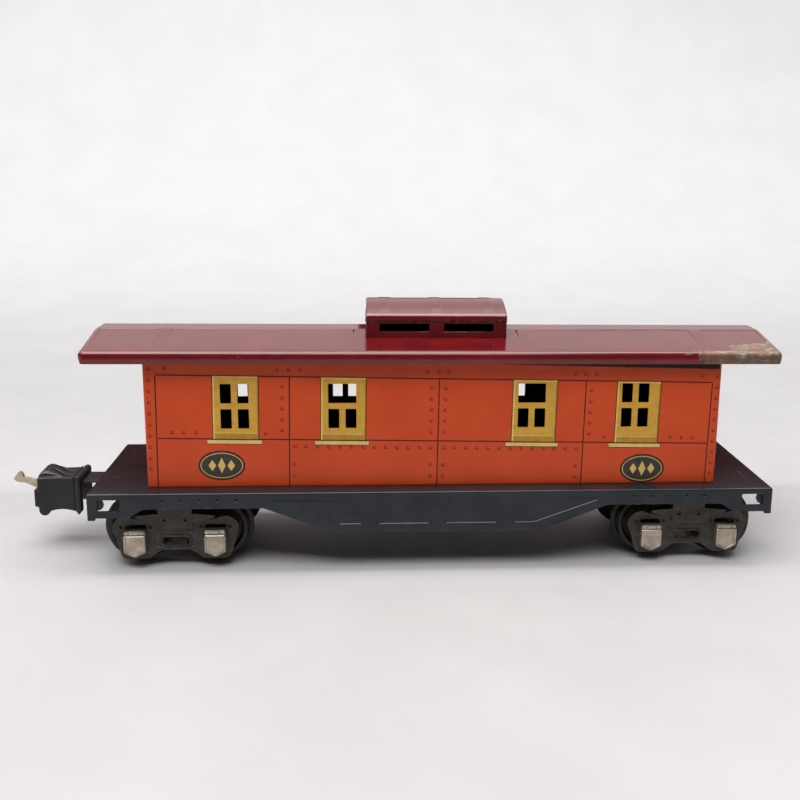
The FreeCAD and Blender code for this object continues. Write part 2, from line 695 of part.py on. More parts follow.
def slanted_slot(centre_y):
    """One of the two slots that cross the box's roof at a slant."""
    x, run, drop = -size.SlotX, size.SlotAlong, size.SlotAcross
    return [(x, centre_y), (x + run, centre_y - drop),
            (x + run, centre_y - drop + size.SlotWide), (x, centre_y + size.SlotWide)]


def build_coupler_box():
    box = new_body("coupler_box")
    for start in (-size.BoxHalf, size.BoxHalf - size.BoxWall):
        pad(box, "XZ_Plane", [box_side_outline()], start, size.BoxWall)
    pad(box, "XZ_Plane", [box_roof_outline()], -size.BoxHalf, size.BoxHalf * 2.0)
    pad(box, "XZ_Plane", [box_hood_outline()], -size.HoodHalf, size.HoodHalf * 2.0)
    inner = size.BoxHalf - size.BoxWall
    rib = [
        (-size.RearRibHalf, size.RearRibBottom), (-inner, size.RearRibBottom),
        (-inner, size.BoxTop - size.BoxRoof), (inner, size.BoxTop - size.BoxRoof),
        (inner, size.RearRibBottom), (size.RearRibHalf, size.RearRibBottom),
        (size.RearRibHalf, size.RearRibTop), (-size.RearRibHalf, size.RearRibTop),
    ]
    pad(box, "YZ_Plane", [rib], -(size.BoxBack + size.RearRibDepth), size.RearRibDepth)
    for low, high in ((-size.BoxHalf, -size.GuardInner), (size.GuardInner, size.BoxHalf)):
        pad(box, "YZ_Plane", [rectangle(low, size.GuardLow, high, size.GuardHigh)],
            -(size.BoxFront + size.GuardSheet), size.GuardSheet)
    roof_low = size.BoxTop - size.BoxRoof
    for centre_y in (size.SlotNear, size.SlotFar):
        pocket(box, "XY_Plane", [slanted_slot(centre_y)], size.BoxTop - size.SlotDepth,
               size.BoxRoof * 2.0)
    rivets = [("circle", -size.BoxRivetX, size.BoxRivetY * side, size.BoxRivetRadius)
              for side in (-1, 1)]
    pocket(box, "XY_Plane", rivets, roof_low, size.BoxRoof)
    pin = ("circle", -size.HookPivotX, size.HookPivotZ, size.HookPinRadius)
    pocket(box, "XZ_Plane", [pin], -size.HookPinHalf, size.HookPinHalf * 2.0)


def build_strap():
    strap = new_body("coupler_drawbar")
    half, bottom = size.StrapHalf, size.StrapBottom
    centre = -size.TruckCentre
    outline = [
        (-size.StrapEnd, -half), (centre, -half, half - size.TruckCentre, zero),
        (centre, half), (-size.StrapEnd, half),
    ]
    holes = [("circle", centre, zero, size.PinRadius + size.RunningGap)]
    for side in (-1, 1):
        holes.append(("circle", -size.BoxRivetX, size.BoxRivetY * side,
                      size.BoxRivetRadius))
    pad(strap, "XY_Plane", [outline] + holes, bottom, size.StrapSheet)
    rivets = []
    for side in (-1, 1):
        rivet = new_body(f"coupler_rivet_{len(rivets) + 1}", -size.BoxRivetX,
                         size.BoxRivetY * side, node=False)
        revolve(rivet, "XZ_Plane", [
            (zero, bottom - size.BoxRivetHeadHigh),
            (size.BoxRivetHead, bottom - size.BoxRivetHeadEdge),
            (size.BoxRivetHead, bottom), (size.BoxRivetRadius, bottom),
            (size.BoxRivetRadius, size.BoxTop), (zero, size.BoxTop),
        ])
        rivets.append(rivet)
    group("coupler_rivets", rivets)


def build_hook():
    hook = new_body("coupler_hook")
    x, z, eye = -size.HookPivotX, size.HookPivotZ, size.HookEye
    outline = [
        (x, z + eye, x + eye, z), (x, z - eye),
        (x - size.HookHeelX, z - size.HookHeelDrop), (x - size.HookNeckX, z + size.HookNeckLow),
        (x - size.HookChinX, z + size.HookChin), (x - size.HookTipX, z + size.HookTip),
        (x - size.HookBarbX, z + size.HookBarb),
        (x - size.HookBarbBackX, z + size.HookBarbBack),
        (x - size.HookThroatX, z + size.HookThroat), (x - size.HookArmX, z + size.HookArmTop),
    ]
    half = size.HookSheet * 0.5
    bore = ("circle", x, z, size.HookPinRadius + size.RunningGap)
    pad(hook, "XZ_Plane", [outline, bore], -half, size.HookSheet)
    pin = new_body("hook_pin")
    pad(pin, "XZ_Plane", [("circle", x, z, size.HookPinRadius)], -size.HookPinHalf,
        size.HookPinHalf * 2.0)
    spring = new_body("hook_spring")
    pad(spring, "XZ_Plane", [("circle", x, z, size.SpringOuter),
                             ("circle", x, z, size.SpringInner)],
        size.SpringStart, size.SpringLong)


# ---------------------------------------------------------------- build, check and export

build_frame()
build_body()
build_roof()
build_cupola()
strap_top = size.StrapBottom + size.StrapSheet
build_truck("front", -size.TruckCentre, -1, strap_top + size.SwivelGap)
build_truck("rear", size.TruckCentre, 1, size.BolsterTop)
build_strap()
build_coupler_box()
build_hook()
doc.recompute()

failed = [item.Label for item in doc.Objects
          if any(word in ("Invalid", "Error") for word in item.State)]
failed += [item.Label for item in nodes if item.Shape.isNull() or not item.Shape.isValid()]
failed += [after.Label for before, after in cuts
           if after.Shape.Volume > before.Shape.Volume - 1e-6]
if failed:
    raise RuntimeError(f"these objects failed: {failed}")

os.makedirs("parts", exist_ok=True)
for item in nodes:
    item.Shape.exportStep(f"parts/{item.Label}.step")
print(f"{len(nodes)} parts written")
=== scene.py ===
import math

import bmesh
import bpy
from mathutils import Matrix, Vector
from mathutils.geometry import delaunay_2d_cdt


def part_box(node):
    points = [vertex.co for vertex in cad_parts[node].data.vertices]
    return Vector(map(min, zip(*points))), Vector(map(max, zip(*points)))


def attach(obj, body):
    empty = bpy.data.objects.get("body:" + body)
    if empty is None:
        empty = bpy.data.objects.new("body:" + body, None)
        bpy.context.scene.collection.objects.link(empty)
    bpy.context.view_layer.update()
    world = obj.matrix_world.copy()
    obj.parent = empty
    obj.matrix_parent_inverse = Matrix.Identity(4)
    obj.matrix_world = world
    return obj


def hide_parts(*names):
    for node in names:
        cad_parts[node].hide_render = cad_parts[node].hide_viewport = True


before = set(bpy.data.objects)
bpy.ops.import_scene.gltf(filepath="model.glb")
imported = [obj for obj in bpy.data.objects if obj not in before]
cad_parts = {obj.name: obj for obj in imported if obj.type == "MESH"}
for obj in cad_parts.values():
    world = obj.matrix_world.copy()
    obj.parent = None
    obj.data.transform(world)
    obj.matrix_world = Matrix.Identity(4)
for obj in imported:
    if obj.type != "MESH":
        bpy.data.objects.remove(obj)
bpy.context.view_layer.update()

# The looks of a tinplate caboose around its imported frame. Lengths here are in millimetres, and
# become metres where a mesh is made. +X runs away from the coupler, and the near side is -Y.

MM = 0.001


def size_of(node):
    """Lowest and highest corner of a CAD node in millimetres."""
    low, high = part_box(node)
    return low / MM, high / MM


# ------------------------------------------------------------------ outlines in a plane


def smooth_step(share):
    share = min(1.0, max(0.0, share))
    return share * share * (3 - 2 * share)


def between(low, high, steps):
    """Evenly spaced values from low to high."""
    return [low + (high - low) * place / steps for place in range(steps + 1)]


def both_ways(half):
    """Stations on both sides of zero, from those on the positive side."""
    return [-x for x in reversed(half[1:])] + half


def circle(x, y, radius, steps=24, tall=1.0):
    turns = [math.tau * place / steps for place in range(steps)]
    return [(x + radius * math.cos(t), y + radius * tall * math.sin(t)) for t in turns]


def rounded(corners, steps=5):
    """Closed outline through corners of (x, y) or (x, y, radius)."""
    ring = []
    for place, corner in enumerate(corners):
        here = Vector(corner[:2])
        radius = corner[2] if len(corner) > 2 else 0.0
        if radius <= 0:
            ring.append(tuple(here))
            continue
        before = (Vector(corners[place - 1][:2]) - here).normalized()
        after = (Vector(corners[(place + 1) % len(corners)][:2]) - here).normalized()
        half = before.angle(after) / 2
        centre = here + (before + after).normalized() * (radius / math.sin(half))
        first = here + before * (radius / math.tan(half)) - centre
        last = here + after * (radius / math.tan(half)) - centre
        start = math.atan2(first.y, first.x)
        turn = (math.atan2(last.y, last.x) - start + math.pi) % math.tau - math.pi
        for share in between(0.0, 1.0, steps):
            angle = start + turn * share
            ring.append((centre.x + radius * math.cos(angle),
                         centre.y + radius * math.sin(angle)))
    return ring


def rectangle(left, low, right, high, radius=0.0, steps=4):
    return rounded([(left, low, radius), (right, low, radius),
                    (right, high, radius), (left, high, radius)], steps)


def side_rectangle(side, near, low, far, high, radius=0.0):
    """A rectangle between two distances from the middle, on one side of it."""
    left, right = sorted((side * near, side * far))
    return rectangle(left, low, right, high, radius)


def mirrored(half):
    """Full outline from its right half, listed from bottom to top."""
    return half + [(-corner[0],) + tuple(corner[1:]) for corner in reversed(half)]


def arc_through(first, middle, last, steps=8):
    """Points of the arc from first through middle to last."""
    a, b, c = Vector(first), Vector(middle), Vector(last)
    cross = 2 * ((b - a).cross(c - a))
    ab, ac = (b - a), (c - a)
    centre = a + Vector((ac.y * ab.length_squared - ab.y * ac.length_squared,
                         ab.x * ac.length_squared - ac.x * ab.length_squared)) / cross
    start = math.atan2(a.y - centre.y, a.x - centre.x)
    sweep = math.atan2(c.y - centre.y, c.x - centre.x) - start
    if cross > 0:
        sweep %= math.tau
    else:
        sweep = -((-sweep) % math.tau)
    radius = (a - centre).length
    return [(centre.x + radius * math.cos(start + sweep * share),
             centre.y + radius * math.sin(start + sweep * share))
            for share in between(0.0, 1.0, steps)]


def inset(ring, distance):
    """The ring drawn in by a distance, its corners mitred."""
    points = [Vector(point[:2]) for point in ring]
    area = sum(points[i - 1].cross(points[i]) for i in range(len(points)))
    inward = distance if area > 0 else -distance
    moved = []
    for place, here in enumerate(points):
        before = (here - points[place - 1]).normalized()
        after = (points[(place + 1) % len(points)] - here).normalized()
        normal = Vector((-before.y - after.y, before.x + after.x))
        spread = max(0.3, 1 + before.dot(after))
        moved.append(tuple(here + normal * (inward / spread)))
    return moved


def within(point, ring):
    x, y = point[0], point[1]
    inside = False
    for place in range(len(ring)):
        x1, y1 = ring[place - 1][:2]
        x2, y2 = ring[place][:2]
        if (y1 > y) != (y2 > y) and x < x1 + (y - y1) * (x2 - x1) / (y2 - y1):
            inside = not inside
    return inside


def edge_distance(point, ring):
    here = Vector(point[:2])
    best = math.inf
    for place in range(len(ring)):
        a, b = Vector(ring[place - 1][:2]), Vector(ring[place][:2])
        along = b - a
        share = (here - a).dot(along) / max(along.length_squared, 1e-12)
        best = min(best, (here - a - along * min(1.0, max(0.0, share))).length)
    return best


def triangles(outline, holes=(), others=()):
    """Triangles inside the outline and outside the holes, along every ring's edges."""
    points, edges = [], []
    for ring in (outline, *holes, *others):
        start = len(points)
        points += [Vector(point[:2]) for point in ring]
        edges += [(start + i, start + (i + 1) % len(ring)) for i in range(len(ring))]
    found, _, faces, *_ = delaunay_2d_cdt(points, edges, [], 0, 1e-6)
    kept = []
    for face in faces:
        centre = (found[face[0]] + found[face[1]] + found[face[2]]) / 3
        if within(centre, outline) and not any(within(centre, hole) for hole in holes):
            kept.append(face)
    return found, kept


PRESS_STEPS = 4


def press_height(point, presses):
    """How far a pressed sheet stands out of its plane at a point."""
    for ring, height, width in presses:
        if within(point, ring):
            return height * smooth_step(edge_distance(point, ring) / width)
    return 0.0


# ------------------------------------------------------------------ meshes and pieces


def near_wall(depth):
    return lambda u, v, w=0.0: (u, -(depth + w), v)


def far_wall(depth):
    return lambda u, v, w=0.0: (-u, depth + w, v)


def right_wall(depth):
    return lambda u, v, w=0.0: (depth + w, u, v)


def left_wall(depth):
    return lambda u, v, w=0.0: (-(depth + w), -u, v)


def side_walls(depth):
    return near_wall(depth), far_wall(depth)


def end_walls(depth):
    return right_wall(depth), left_wall(depth)


def floor_plane(height):
    return lambda u, v, w=0.0: (u, v, height + w)


def add_faces(mesh, points, faces):
    made = [mesh.verts.new(point) for point in points]
    for face in faces:
        if len(set(face)) > 2:
            mesh.faces.new([made[index] for index in face])


def add_patch(mesh, place, outline, holes=(), presses=()):
    """One flat or pressed sheet face, set in space by place(u, v, w)."""
    rings = [inset(ring, width * step / PRESS_STEPS)
             for ring, _, width in presses for step in range(PRESS_STEPS + 1)]
    points, faces = triangles(outline, holes, rings)
    add_faces(mesh, [place(p.x, p.y, press_height(p, presses)) for p in points], faces)


def add_prism(mesh, place, outline, holes, low, high):
    """A closed plate between two levels of w."""
    points, faces = triangles(outline, holes)
    count = len(points)
    sides = {}
    for face in faces:
        for index in range(3):
            edge = (face[index - 1], face[index])
            if (edge[1], edge[0]) in sides:
                del sides[(edge[1], edge[0])]
            else:
                sides[edge] = True
    solid = [tuple(face[index] + count for index in range(3)) for face in faces]
    solid += [tuple(reversed(face)) for face in faces]
    solid += [(a, b, b + count, a + count) for a, b in sides]
    add_faces(mesh, [place(p.x, p.y, low) for p in points]
              + [place(p.x, p.y, high) for p in points], solid)


def add_grid(mesh, rows, closed=False):
    """Quads between rows of points; a closed row joins its last point to its first."""
    wide = len(rows[0])
    faces = []
    for row in range(len(rows) - 1):
        for place in range(wide if closed else wide - 1):
            following = (place + 1) % wide
            faces.append((row * wide + place, row * wide + following,
                          (row + 1) * wide + following, (row + 1) * wide + place))
    add_faces(mesh, [point for row in rows for point in row], faces)


def add_loft(mesh, rings):
    """A closed solid through rings of equal count, capped at both ends."""
    add_grid(mesh, rings, closed=True)
    for ring in (rings[0], rings[-1]):
        add_faces(mesh, ring, [tuple(range(len(ring)))])


def add_layers(mesh, place, outline, layers):
    """A closed solid of one outline drawn in by (inset, level) steps."""
    add_loft(mesh, [[place(u, v, level) for u, v in inset(outline, draw)]
                    for draw, level in layers])


def add_lathe(mesh, profile, centre, steps=72):
    """A closed profile of (radius, y) turned about the line through centre along Y."""
    rows = []
    for radius, y in profile + profile[:1]:
        rows.append([(centre[0] + radius * math.cos(math.tau * i / steps), y,
                      centre[1] + radius * math.sin(math.tau * i / steps))
                     for i in range(steps)])
    add_grid(mesh, rows, closed=True)


def corner_column(mesh, x, y, radius, side_x, side_y, heights, steps=4):
    """Rounded vertical corner about (x, y), as tall as heights."""
    rows = []
    for angle in between(0.0, math.pi / 2, steps):
        rows.append([(x + side_x * radius * math.sin(angle),
                      y + side_y * radius * math.cos(angle), z) for z in heights])
    add_grid(mesh, rows)


def add_corners(mesh, long, wide, radius, heights):
    """The four rounded vertical corners of a box."""
    for side_x in (-1, 1):
        for side_y in (-1, 1):
            corner_column(mesh, side_x * long, side_y * wide, radius, side_x, side_y, heights)


def wall_outline(half, heights, foot=(), crown=()):
    """A wall's outline: its foot, right edge, crown and left edge."""
    right = [(half, z) for z in heights]
    left = [(-half, z) for z in reversed(heights[1:])]
    return [(-half, heights[0]), *foot, *right, *crown, *left]


WELD = 0.002
SHARP_ANGLE = math.radians(32)
BEVEL_ANGLE = math.radians(42)
FLAT_ANGLE = math.radians(0.5)


def scale_mesh(mesh, factor):
    bmesh.ops.scale(mesh, vec=(factor, factor, factor), verts=mesh.verts)


def add_object(name, mesh, material):
    """An object of a bmesh in metres, which is freed."""
    data = bpy.data.meshes.new(name)
    mesh.to_mesh(data)
    mesh.free()
    data.materials.append(material)
    piece = bpy.data.objects.new(name, data)
    bpy.context.scene.collection.objects.link(piece)
    return piece


def round_shading(piece):
    for polygon in piece.data.polygons:
        polygon.use_smooth = True


def make_piece(name, mesh, look, body, slot=None, replaces=(), sheet=0.0, edge=0.0,
               edge_steps=2, weld=WELD, smooth=True):
    """A piece from a bmesh in millimetres: sheet gives it a thickness, edge softens it."""
    slot = slot or look
    bmesh.ops.remove_doubles(mesh, verts=mesh.verts, dist=weld)
    bmesh.ops.recalc_face_normals(mesh, faces=mesh.faces)
    scale_mesh(mesh, MM)
    piece = add_object(name, mesh, MATERIAL[look])
    if sheet:
        solid = piece.modifiers.new("Sheet", "SOLIDIFY")
        solid.thickness = sheet * MM
        solid.offset = -1
        solid.use_even_offset = True
    if edge:
        bevel = piece.modifiers.new("Edge", "BEVEL")
        bevel.width = edge * MM
        bevel.segments = edge_steps
        bevel.limit_method = "ANGLE"
        bevel.angle_limit = BEVEL_ANGLE
        bevel.use_clamp_overlap = True
    settle(piece)
    if smooth:
        shade(piece)
    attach(piece, body)
    if replaces:
        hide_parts(*replaces)
    return piece


def make_shape(node, mesh, look, body, slot=None, **form):
    """The piece that takes the place of one CAD node."""
    return make_piece(f"{node}_shape", mesh, look, body, slot, (node,), **form)


def settle(piece):
    """Replace the piece's mesh by what its modifiers give."""
    if not piece.modifiers:
        return
    graph = bpy.context.evaluated_depsgraph_get()
    graph.update()
    data = bpy.data.meshes.new_from_object(piece.evaluated_get(graph))
    data.name = piece.name
    piece.modifiers.clear()
    piece.data = data


def shade(piece):
    """Round shading that keeps the sharp edges."""
    round_shading(piece)
    piece.data.set_sharp_from_angle(angle=SHARP_ANGLE)
    weigh = piece.modifiers.new("Normals", "WEIGHTED_NORMAL")
    weigh.mode = "FACE_AREA"
    weigh.keep_sharp = True


def node_mesh(node):
    """A CAD node's mesh in metres, welded."""
    mesh = bmesh.new()
    mesh.from_mesh(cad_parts[node].data)
    bmesh.ops.remove_doubles(mesh, verts=mesh.verts, dist=WELD * MM)
    return mesh


def softened(node, look, body, edge, steps=2):
    """A copy of a CAD node with its edges broken, in the node's place."""
    mesh = node_mesh(node)
    bmesh.ops.dissolve_limit(mesh, angle_limit=FLAT_ANGLE, verts=mesh.verts, edges=mesh.edges)
    scale_mesh(mesh, 1 / MM)
    make_shape(node, mesh, look, body, edge=edge, edge_steps=steps)


# ------------------------------------------------------------------ materials


def srgb(code):
    """Linear colour of a hex code."""
    values = [int(code[i:i + 2], 16) / 255 for i in (1, 3, 5)]
    return [v / 12.92 if v <= 0.04045 else ((v + 0.055) / 1.055) ** 2.4 for v in values] + [1]


RANGE_KEYS = ("From Min", "From Max", "To Min", "To Max")


MATERIAL = {}


class Finish:
    """One node material; places in it are object coordinates in millimetres."""

    def __init__(self, name):
        self.material = bpy.data.materials.new(name)
        self.material.use_nodes = True
        MATERIAL[name] = self.material
        self.tree = self.material.node_tree
        self.shader = self.tree.nodes["Principled BSDF"]
        place = self.node("ShaderNodeTexCoord").outputs["Object"]
        self.place = self.vector("SCALE", place, scale=1 / MM)

    def node(self, kind, **settings):
        made = self.tree.nodes.new(kind)
        for key, value in settings.items():
            setattr(made, key, value)
        return made

    def feed(self, socket, value):
        if isinstance(value, bpy.types.NodeSocket):
            self.tree.links.new(value, socket)
        elif isinstance(value, str):
            socket.default_value = srgb(value)
        else:
            socket.default_value = value

    def vector(self, operation, first, second=None, scale=None):
        made = self.node("ShaderNodeVectorMath", operation=operation)
        self.feed(made.inputs[0], first)
        if second is not None:
            self.feed(made.inputs[1], second)
        if scale is not None:
            made.inputs["Scale"].default_value = scale
        return made.outputs["Value" if operation == "DOT_PRODUCT" else "Vector"]

    def math(self, operation, first, second=0.0):
        made = self.node("ShaderNodeMath", operation=operation)
        self.feed(made.inputs[0], first)
        self.feed(made.inputs[1], second)
        return made.outputs[0]

    def times(self, first, second):
        return self.math("MULTIPLY", first, second)

    def plus(self, first, second):
        return self.math("ADD", first, second)

    def minus(self, first, second):
        return self.math("SUBTRACT", first, second)

    def over(self, first, second):
        return self.math("DIVIDE", first, second)

    def most(self, first, second):
        return self.math("MAXIMUM", first, second)

    def size(self, value):
        return self.math("ABSOLUTE", value)

    def below(self, value, limit):
        return self.math("LESS_THAN", value, limit)

    def spread(self, value, low, high, to_low=0.0, to_high=1.0):
        made = self.node("ShaderNodeMapRange", interpolation_type="SMOOTHSTEP")
        self.feed(made.inputs["Value"], value)
        for key, number in zip(RANGE_KEYS, (low, high, to_low, to_high)):
            made.inputs[key].default_value = number
        return made.outputs[0]

    def noise(self, grain, detail=3.0, rough=0.55, stretch=None, twist=0.0):
        """Noise with features about grain millimetres wide."""
        place = self.place
        if stretch:
            place = self.vector("MULTIPLY", place, stretch)
        made = self.node("ShaderNodeTexNoise")
        self.feed(made.inputs["Vector"], place)
        made.inputs["Scale"].default_value = 1 / grain
        made.inputs["Detail"].default_value = detail
        made.inputs["Roughness"].default_value = rough
        made.inputs["Distortion"].default_value = twist
        return made.outputs[0]

    def cloud(self, low, high, *noise, most=1.0):
        """Patches of noise, from 0 where it is low to most where it is high."""
        return self.spread(self.noise(*noise), low, high, 0.0, most)

    def specks(self, pitch, radius, share):
        """Small round marks about pitch apart, kept for a share of the places."""
        made = self.node("ShaderNodeTexVoronoi")
        self.feed(made.inputs["Vector"], self.place)
        made.inputs["Scale"].default_value = 1 / pitch
        spot = self.spread(made.outputs["Distance"], radius / pitch, 0.5 * radius / pitch)
        parts = self.node("ShaderNodeSeparateColor")
        self.feed(parts.inputs[0], made.outputs["Color"])
        return self.times(spot, self.below(parts.outputs[0], share))

    def edges(self, radius):
        """1 along the edges of the shape and 0 on its flats."""
        soft = self.node("ShaderNodeBevel", samples=4)
        soft.inputs["Radius"].default_value = radius * MM
        true = self.node("ShaderNodeNewGeometry").outputs["Normal"]
        same = self.vector("DOT_PRODUCT", soft.outputs[0], true)
        return self.spread(self.minus(1.0, same), 0.02, 0.2)

    def axis(self, name):
        parts = self.node("ShaderNodeSeparateXYZ")
        self.feed(parts.inputs[0], self.place)
        return parts.outputs[name]

    def mixed(self, kind, share, first, second, socket, output):
        made = self.node("ShaderNodeMix", data_type=kind)
        self.feed(made.inputs["Factor"], share)
        self.feed(made.inputs[socket], first)
        self.feed(made.inputs[socket + 1], second)
        return made.outputs[output]

    def mix(self, share, first, second):
        """A share of the way from the first colour to the second."""
        return self.mixed("RGBA", share, first, second, 6, 2)

    def blend(self, share, first, second):
        """A share of the way from the first number to the second."""
        return self.mixed("FLOAT", share, first, second, 2, 0)

    def bump(self, *layers):
        """Stack layers of (height, depth in millimetres) into the shading normal."""
        normal = None
        for height, depth in layers:
            made = self.node("ShaderNodeBump")
            made.inputs["Strength"].default_value = 1.0
            made.inputs["Distance"].default_value = depth * MM
            self.feed(made.inputs["Height"], height)
            if normal is not None:
                self.feed(made.inputs["Normal"], normal)
            normal = made.outputs[0]
        self.feed(self.shader.inputs["Normal"], normal)

    def set(self, **values):
        for key, value in values.items():
            self.feed(self.shader.inputs[key.replace("_", " ")], value)


WALL_SKIN = 0.3


def hollow(finish, node, top):
    """1 on the inner faces of a hollow node's walls below a height."""
    _, high = size_of(node)
    across = finish.below(finish.size(finish.axis("Y")), high.y - WALL_SKIN)
    along = finish.below(finish.size(finish.axis("X")), high.x - WALL_SKIN)
    return finish.times(finish.times(across, along), finish.below(finish.axis("Z"), top))


# Stains on bare tin: grain, detail, stretch, from, full, share, colour.
TIN_STAINS = (
    (4.5, 6, None, 0.46, 0.58, 0.7, "#8c5049"),
    (1.4, 5, (0.35, 1, 1), 0.56, 0.64, 0.8, "#cfc2b4"),
    (2.2, 6, (0.25, 1, 1), 0.54, 0.63, 0.8, "#463622"),
)
EAVE_HIGH, EAVE_LOW = 76.2, 74.4


def bare_tin(finish, colour):
    """Tinplate where the enamel has gone, with painted shade making it darker brown towards the
    eave.
    """
    tin = finish.mix(finish.cloud(0.38, 0.62, 2.0, 5, 0.65), "#6b5644", colour)
    for grain, detail, stretch, low, high, most, stain in TIN_STAINS:
        share = finish.cloud(low, high, grain, detail, 0.65, stretch, most=most)
        tin = finish.mix(share, tin, stain)
    # Painted shade: darker brown low on the eave and fascia, which face away from the light.
    return finish.mix(finish.spread(finish.axis("Z"), EAVE_HIGH, EAVE_LOW, 0, 0.5), tin,
                      "#55452c")


def enamel(name, colour, dark, chip, gloss, worn=0.5, bare=None, shine=0.5, painted_inside_shade=None):
    """Baked enamel on tinplate: clouded, faintly scratched, chipped at its edges, and given painted
    shade on its inner faces when asked.
    """
    finish = Finish(name)
    base = finish.mix(finish.cloud(0.32, 0.68, 11, 4), dark, colour)
    fine = finish.noise(0.9, 5, 0.65)
    scratch = finish.cloud(0.73, 0.79, 0.5, 2, 0.5, (0.12, 1.0, 1.4), 0.6)
    marks = finish.most(finish.specks(6.0, 0.2, 0.2), finish.specks(2.6, 0.12, 0.12))
    rubbed = finish.plus(finish.times(finish.edges(0.35), 0.42), finish.noise(1.3, 6, 0.7))
    marks = finish.most(marks, finish.spread(rubbed, 1.02 - 0.2 * worn, 1.06 - 0.2 * worn))
    if bare:
        marks = finish.most(marks, bare(finish))
    base = finish.mix(finish.times(scratch, 0.12), base, chip)
    base = finish.mix(marks, base, bare_tin(finish, chip))
    # Painted shade: the inner faces go near-black and lose their shine.
    if painted_inside_shade:
        inside = hollow(finish, *painted_inside_shade)
        base = finish.mix(inside, base, "#060404")
        shine = finish.blend(inside, shine, 0.0)
    rough = finish.spread(fine, 0.3, 0.7, gloss, gloss + 0.06)
    finish.set(Base_Color=base, Roughness=finish.blend(marks, rough, 0.5),
               Metallic=finish.times(marks, 0.3), Specular_IOR_Level=shine)
    finish.bump((finish.noise(1.6, 2), 0.006), (marks, -0.03), (fine, 0.0012))


def metal(name, colour, dark, stain, low, high):
    """Plated or plain metal, lightened along its edges as a painted highlight that also stands for
    rubbing, and stained in places.
    """
    finish = Finish(name)
    fine = finish.noise(0.9, 4, 0.6)
    base = finish.mix(finish.cloud(0.3, 0.75, 4.5, 4, 0.6), dark, colour)
    stained = finish.cloud(0.56, 0.72, 1.3, 6, 0.7, most=0.5)
    base = finish.mix(stained, base, stain)
    # Painted highlight, also standing for rubbing: the edges are lightened towards near-white.
    base = finish.mix(finish.times(finish.edges(0.3), 0.55), base, "#e2dccf")
    finish.set(Base_Color=base, Metallic=0.85,
               Roughness=finish.blend(stained, finish.spread(fine, 0.3, 0.7, low, high), 0.6))
    finish.bump((fine, 0.008), (stained, -0.008))


def blackened(name, colour, dark, rubbed, rough, sheen=0.35):
    """Thin black finish on steel or zinc: dusty, rubbed through to metal at its edges."""
    finish = Finish(name)
    fine = finish.noise(0.35, 4, 0.7)
    base = finish.mix(finish.cloud(0.35, 0.68, 4, 5, 0.65), dark, colour)
    rub = finish.times(finish.edges(0.3), finish.cloud(0.42, 0.66, 1.1, 5, 0.7))
    finish.set(Base_Color=finish.mix(finish.times(rub, 0.55), base, rubbed), Metallic=sheen,
               Roughness=finish.spread(fine, 0.3, 0.7, rough - 0.08, rough + 0.1))
    finish.bump((fine, 0.02), (finish.noise(1.6, 3), 0.02))


BODY_FOOT, CUPOLA_LIP, OVER_ALL = 28.0, 84.0, 90.0


def litho():
    """Orange-red lithographed sheet, its edges rubbed to dark tin, with painted shade along its
    foot and on its inner faces.
    """
    finish = Finish("body_litho")
    fine = finish.noise(0.5, 5, 0.65)
    scratch = finish.cloud(0.74, 0.78, 0.45, 2, 0.5, (0.1, 1.0, 1.5), 0.8)
    rubbed = finish.plus(finish.times(finish.edges(0.5), 0.4), finish.noise(1.5, 6, 0.75))
    # Painted shade: a dark band along the foot of the sheet, just above the deck.
    foot = finish.spread(finish.axis("Z"), BODY_FOOT + 0.7, BODY_FOOT + 0.1, 0, 0.75)
    base = finish.mix(finish.cloud(0.3, 0.7, 16, 5), "#c24110", "#ca4719")
    for share, colour in ((finish.cloud(0.6, 0.82, 2.2, 6, 0.75, most=0.35), "#8e3218"),
                          (finish.times(scratch, 0.3), "#d98a6a"),
                          (finish.specks(9.0, 0.2, 0.14), "#4a2015"),
                          (finish.spread(rubbed, 0.93, 0.99), "#574a42"),
                          (foot, "#2a120c"),
                          # Painted shade: the inner faces of the walls go near-black.
                          (hollow(finish, "body_shell", OVER_ALL), "#120b09")):
        base = finish.mix(share, base, colour)
    finish.set(Base_Color=base, Roughness=finish.spread(fine, 0.3, 0.7, 0.3, 0.4),
               Specular_IOR_Level=0.35)
    finish.bump((finish.noise(14, 2), 0.05), (fine, 0.002))


INK_ROUGH = 0.36


def ink(name, colour, dark):
    """A printed colour with the slight unevenness of old lithography."""
    finish = Finish(name)
    fine = finish.noise(0.3, 4, 0.7)
    base = finish.mix(finish.cloud(0.38, 0.72, 2.6, 6, 0.7), colour, dark)
    finish.set(Base_Color=finish.mix(finish.specks(4.0, 0.14, 0.18), base, "#3a2418"),
               Roughness=finish.spread(fine, 0.3, 0.7, INK_ROUGH - 0.05, INK_ROUGH + 0.06),
               Specular_IOR_Level=0.35)
    finish.bump((fine, 0.0015))


def worn_corner(finish):
    """Where the enamel has gone from one corner of the roof: up the slope and along the eave."""
    _, high = size_of("roof")
    x = finish.minus(high.x, finish.axis("X"))
    y = finish.plus(finish.axis("Y"), high.y)
    ragged = finish.minus(finish.noise(3.5, 8, 0.72), 0.5)
    along = finish.over(finish.minus(x, 5.5), 11.5)
    up = finish.over(y, 10.0)
    patch = finish.plus(finish.times(along, along), finish.times(up, up))
    patch = finish.spread(finish.plus(patch, finish.times(ragged, 3.4)), 1.15, 0.85)
    eave = finish.most(finish.over(x, 29.0), finish.over(y, 2.0))
    eave = finish.spread(finish.plus(eave, finish.times(ragged, 1.4)), 1.04, 0.96)
    end = finish.spread(finish.plus(finish.over(x, 1.5), finish.times(ragged, 4.0)), 1.05, 0.95)
    end = finish.times(end, finish.below(y, 26.0))
    chips = finish.times(finish.specks(5.0, 0.3, 0.22), finish.below(finish.axis("Z"), 76.3))
    return finish.most(finish.most(finish.most(patch, eave), end), chips)


SLOT_X, SLOT_YS = 109.0, (-14.2, 18.9)


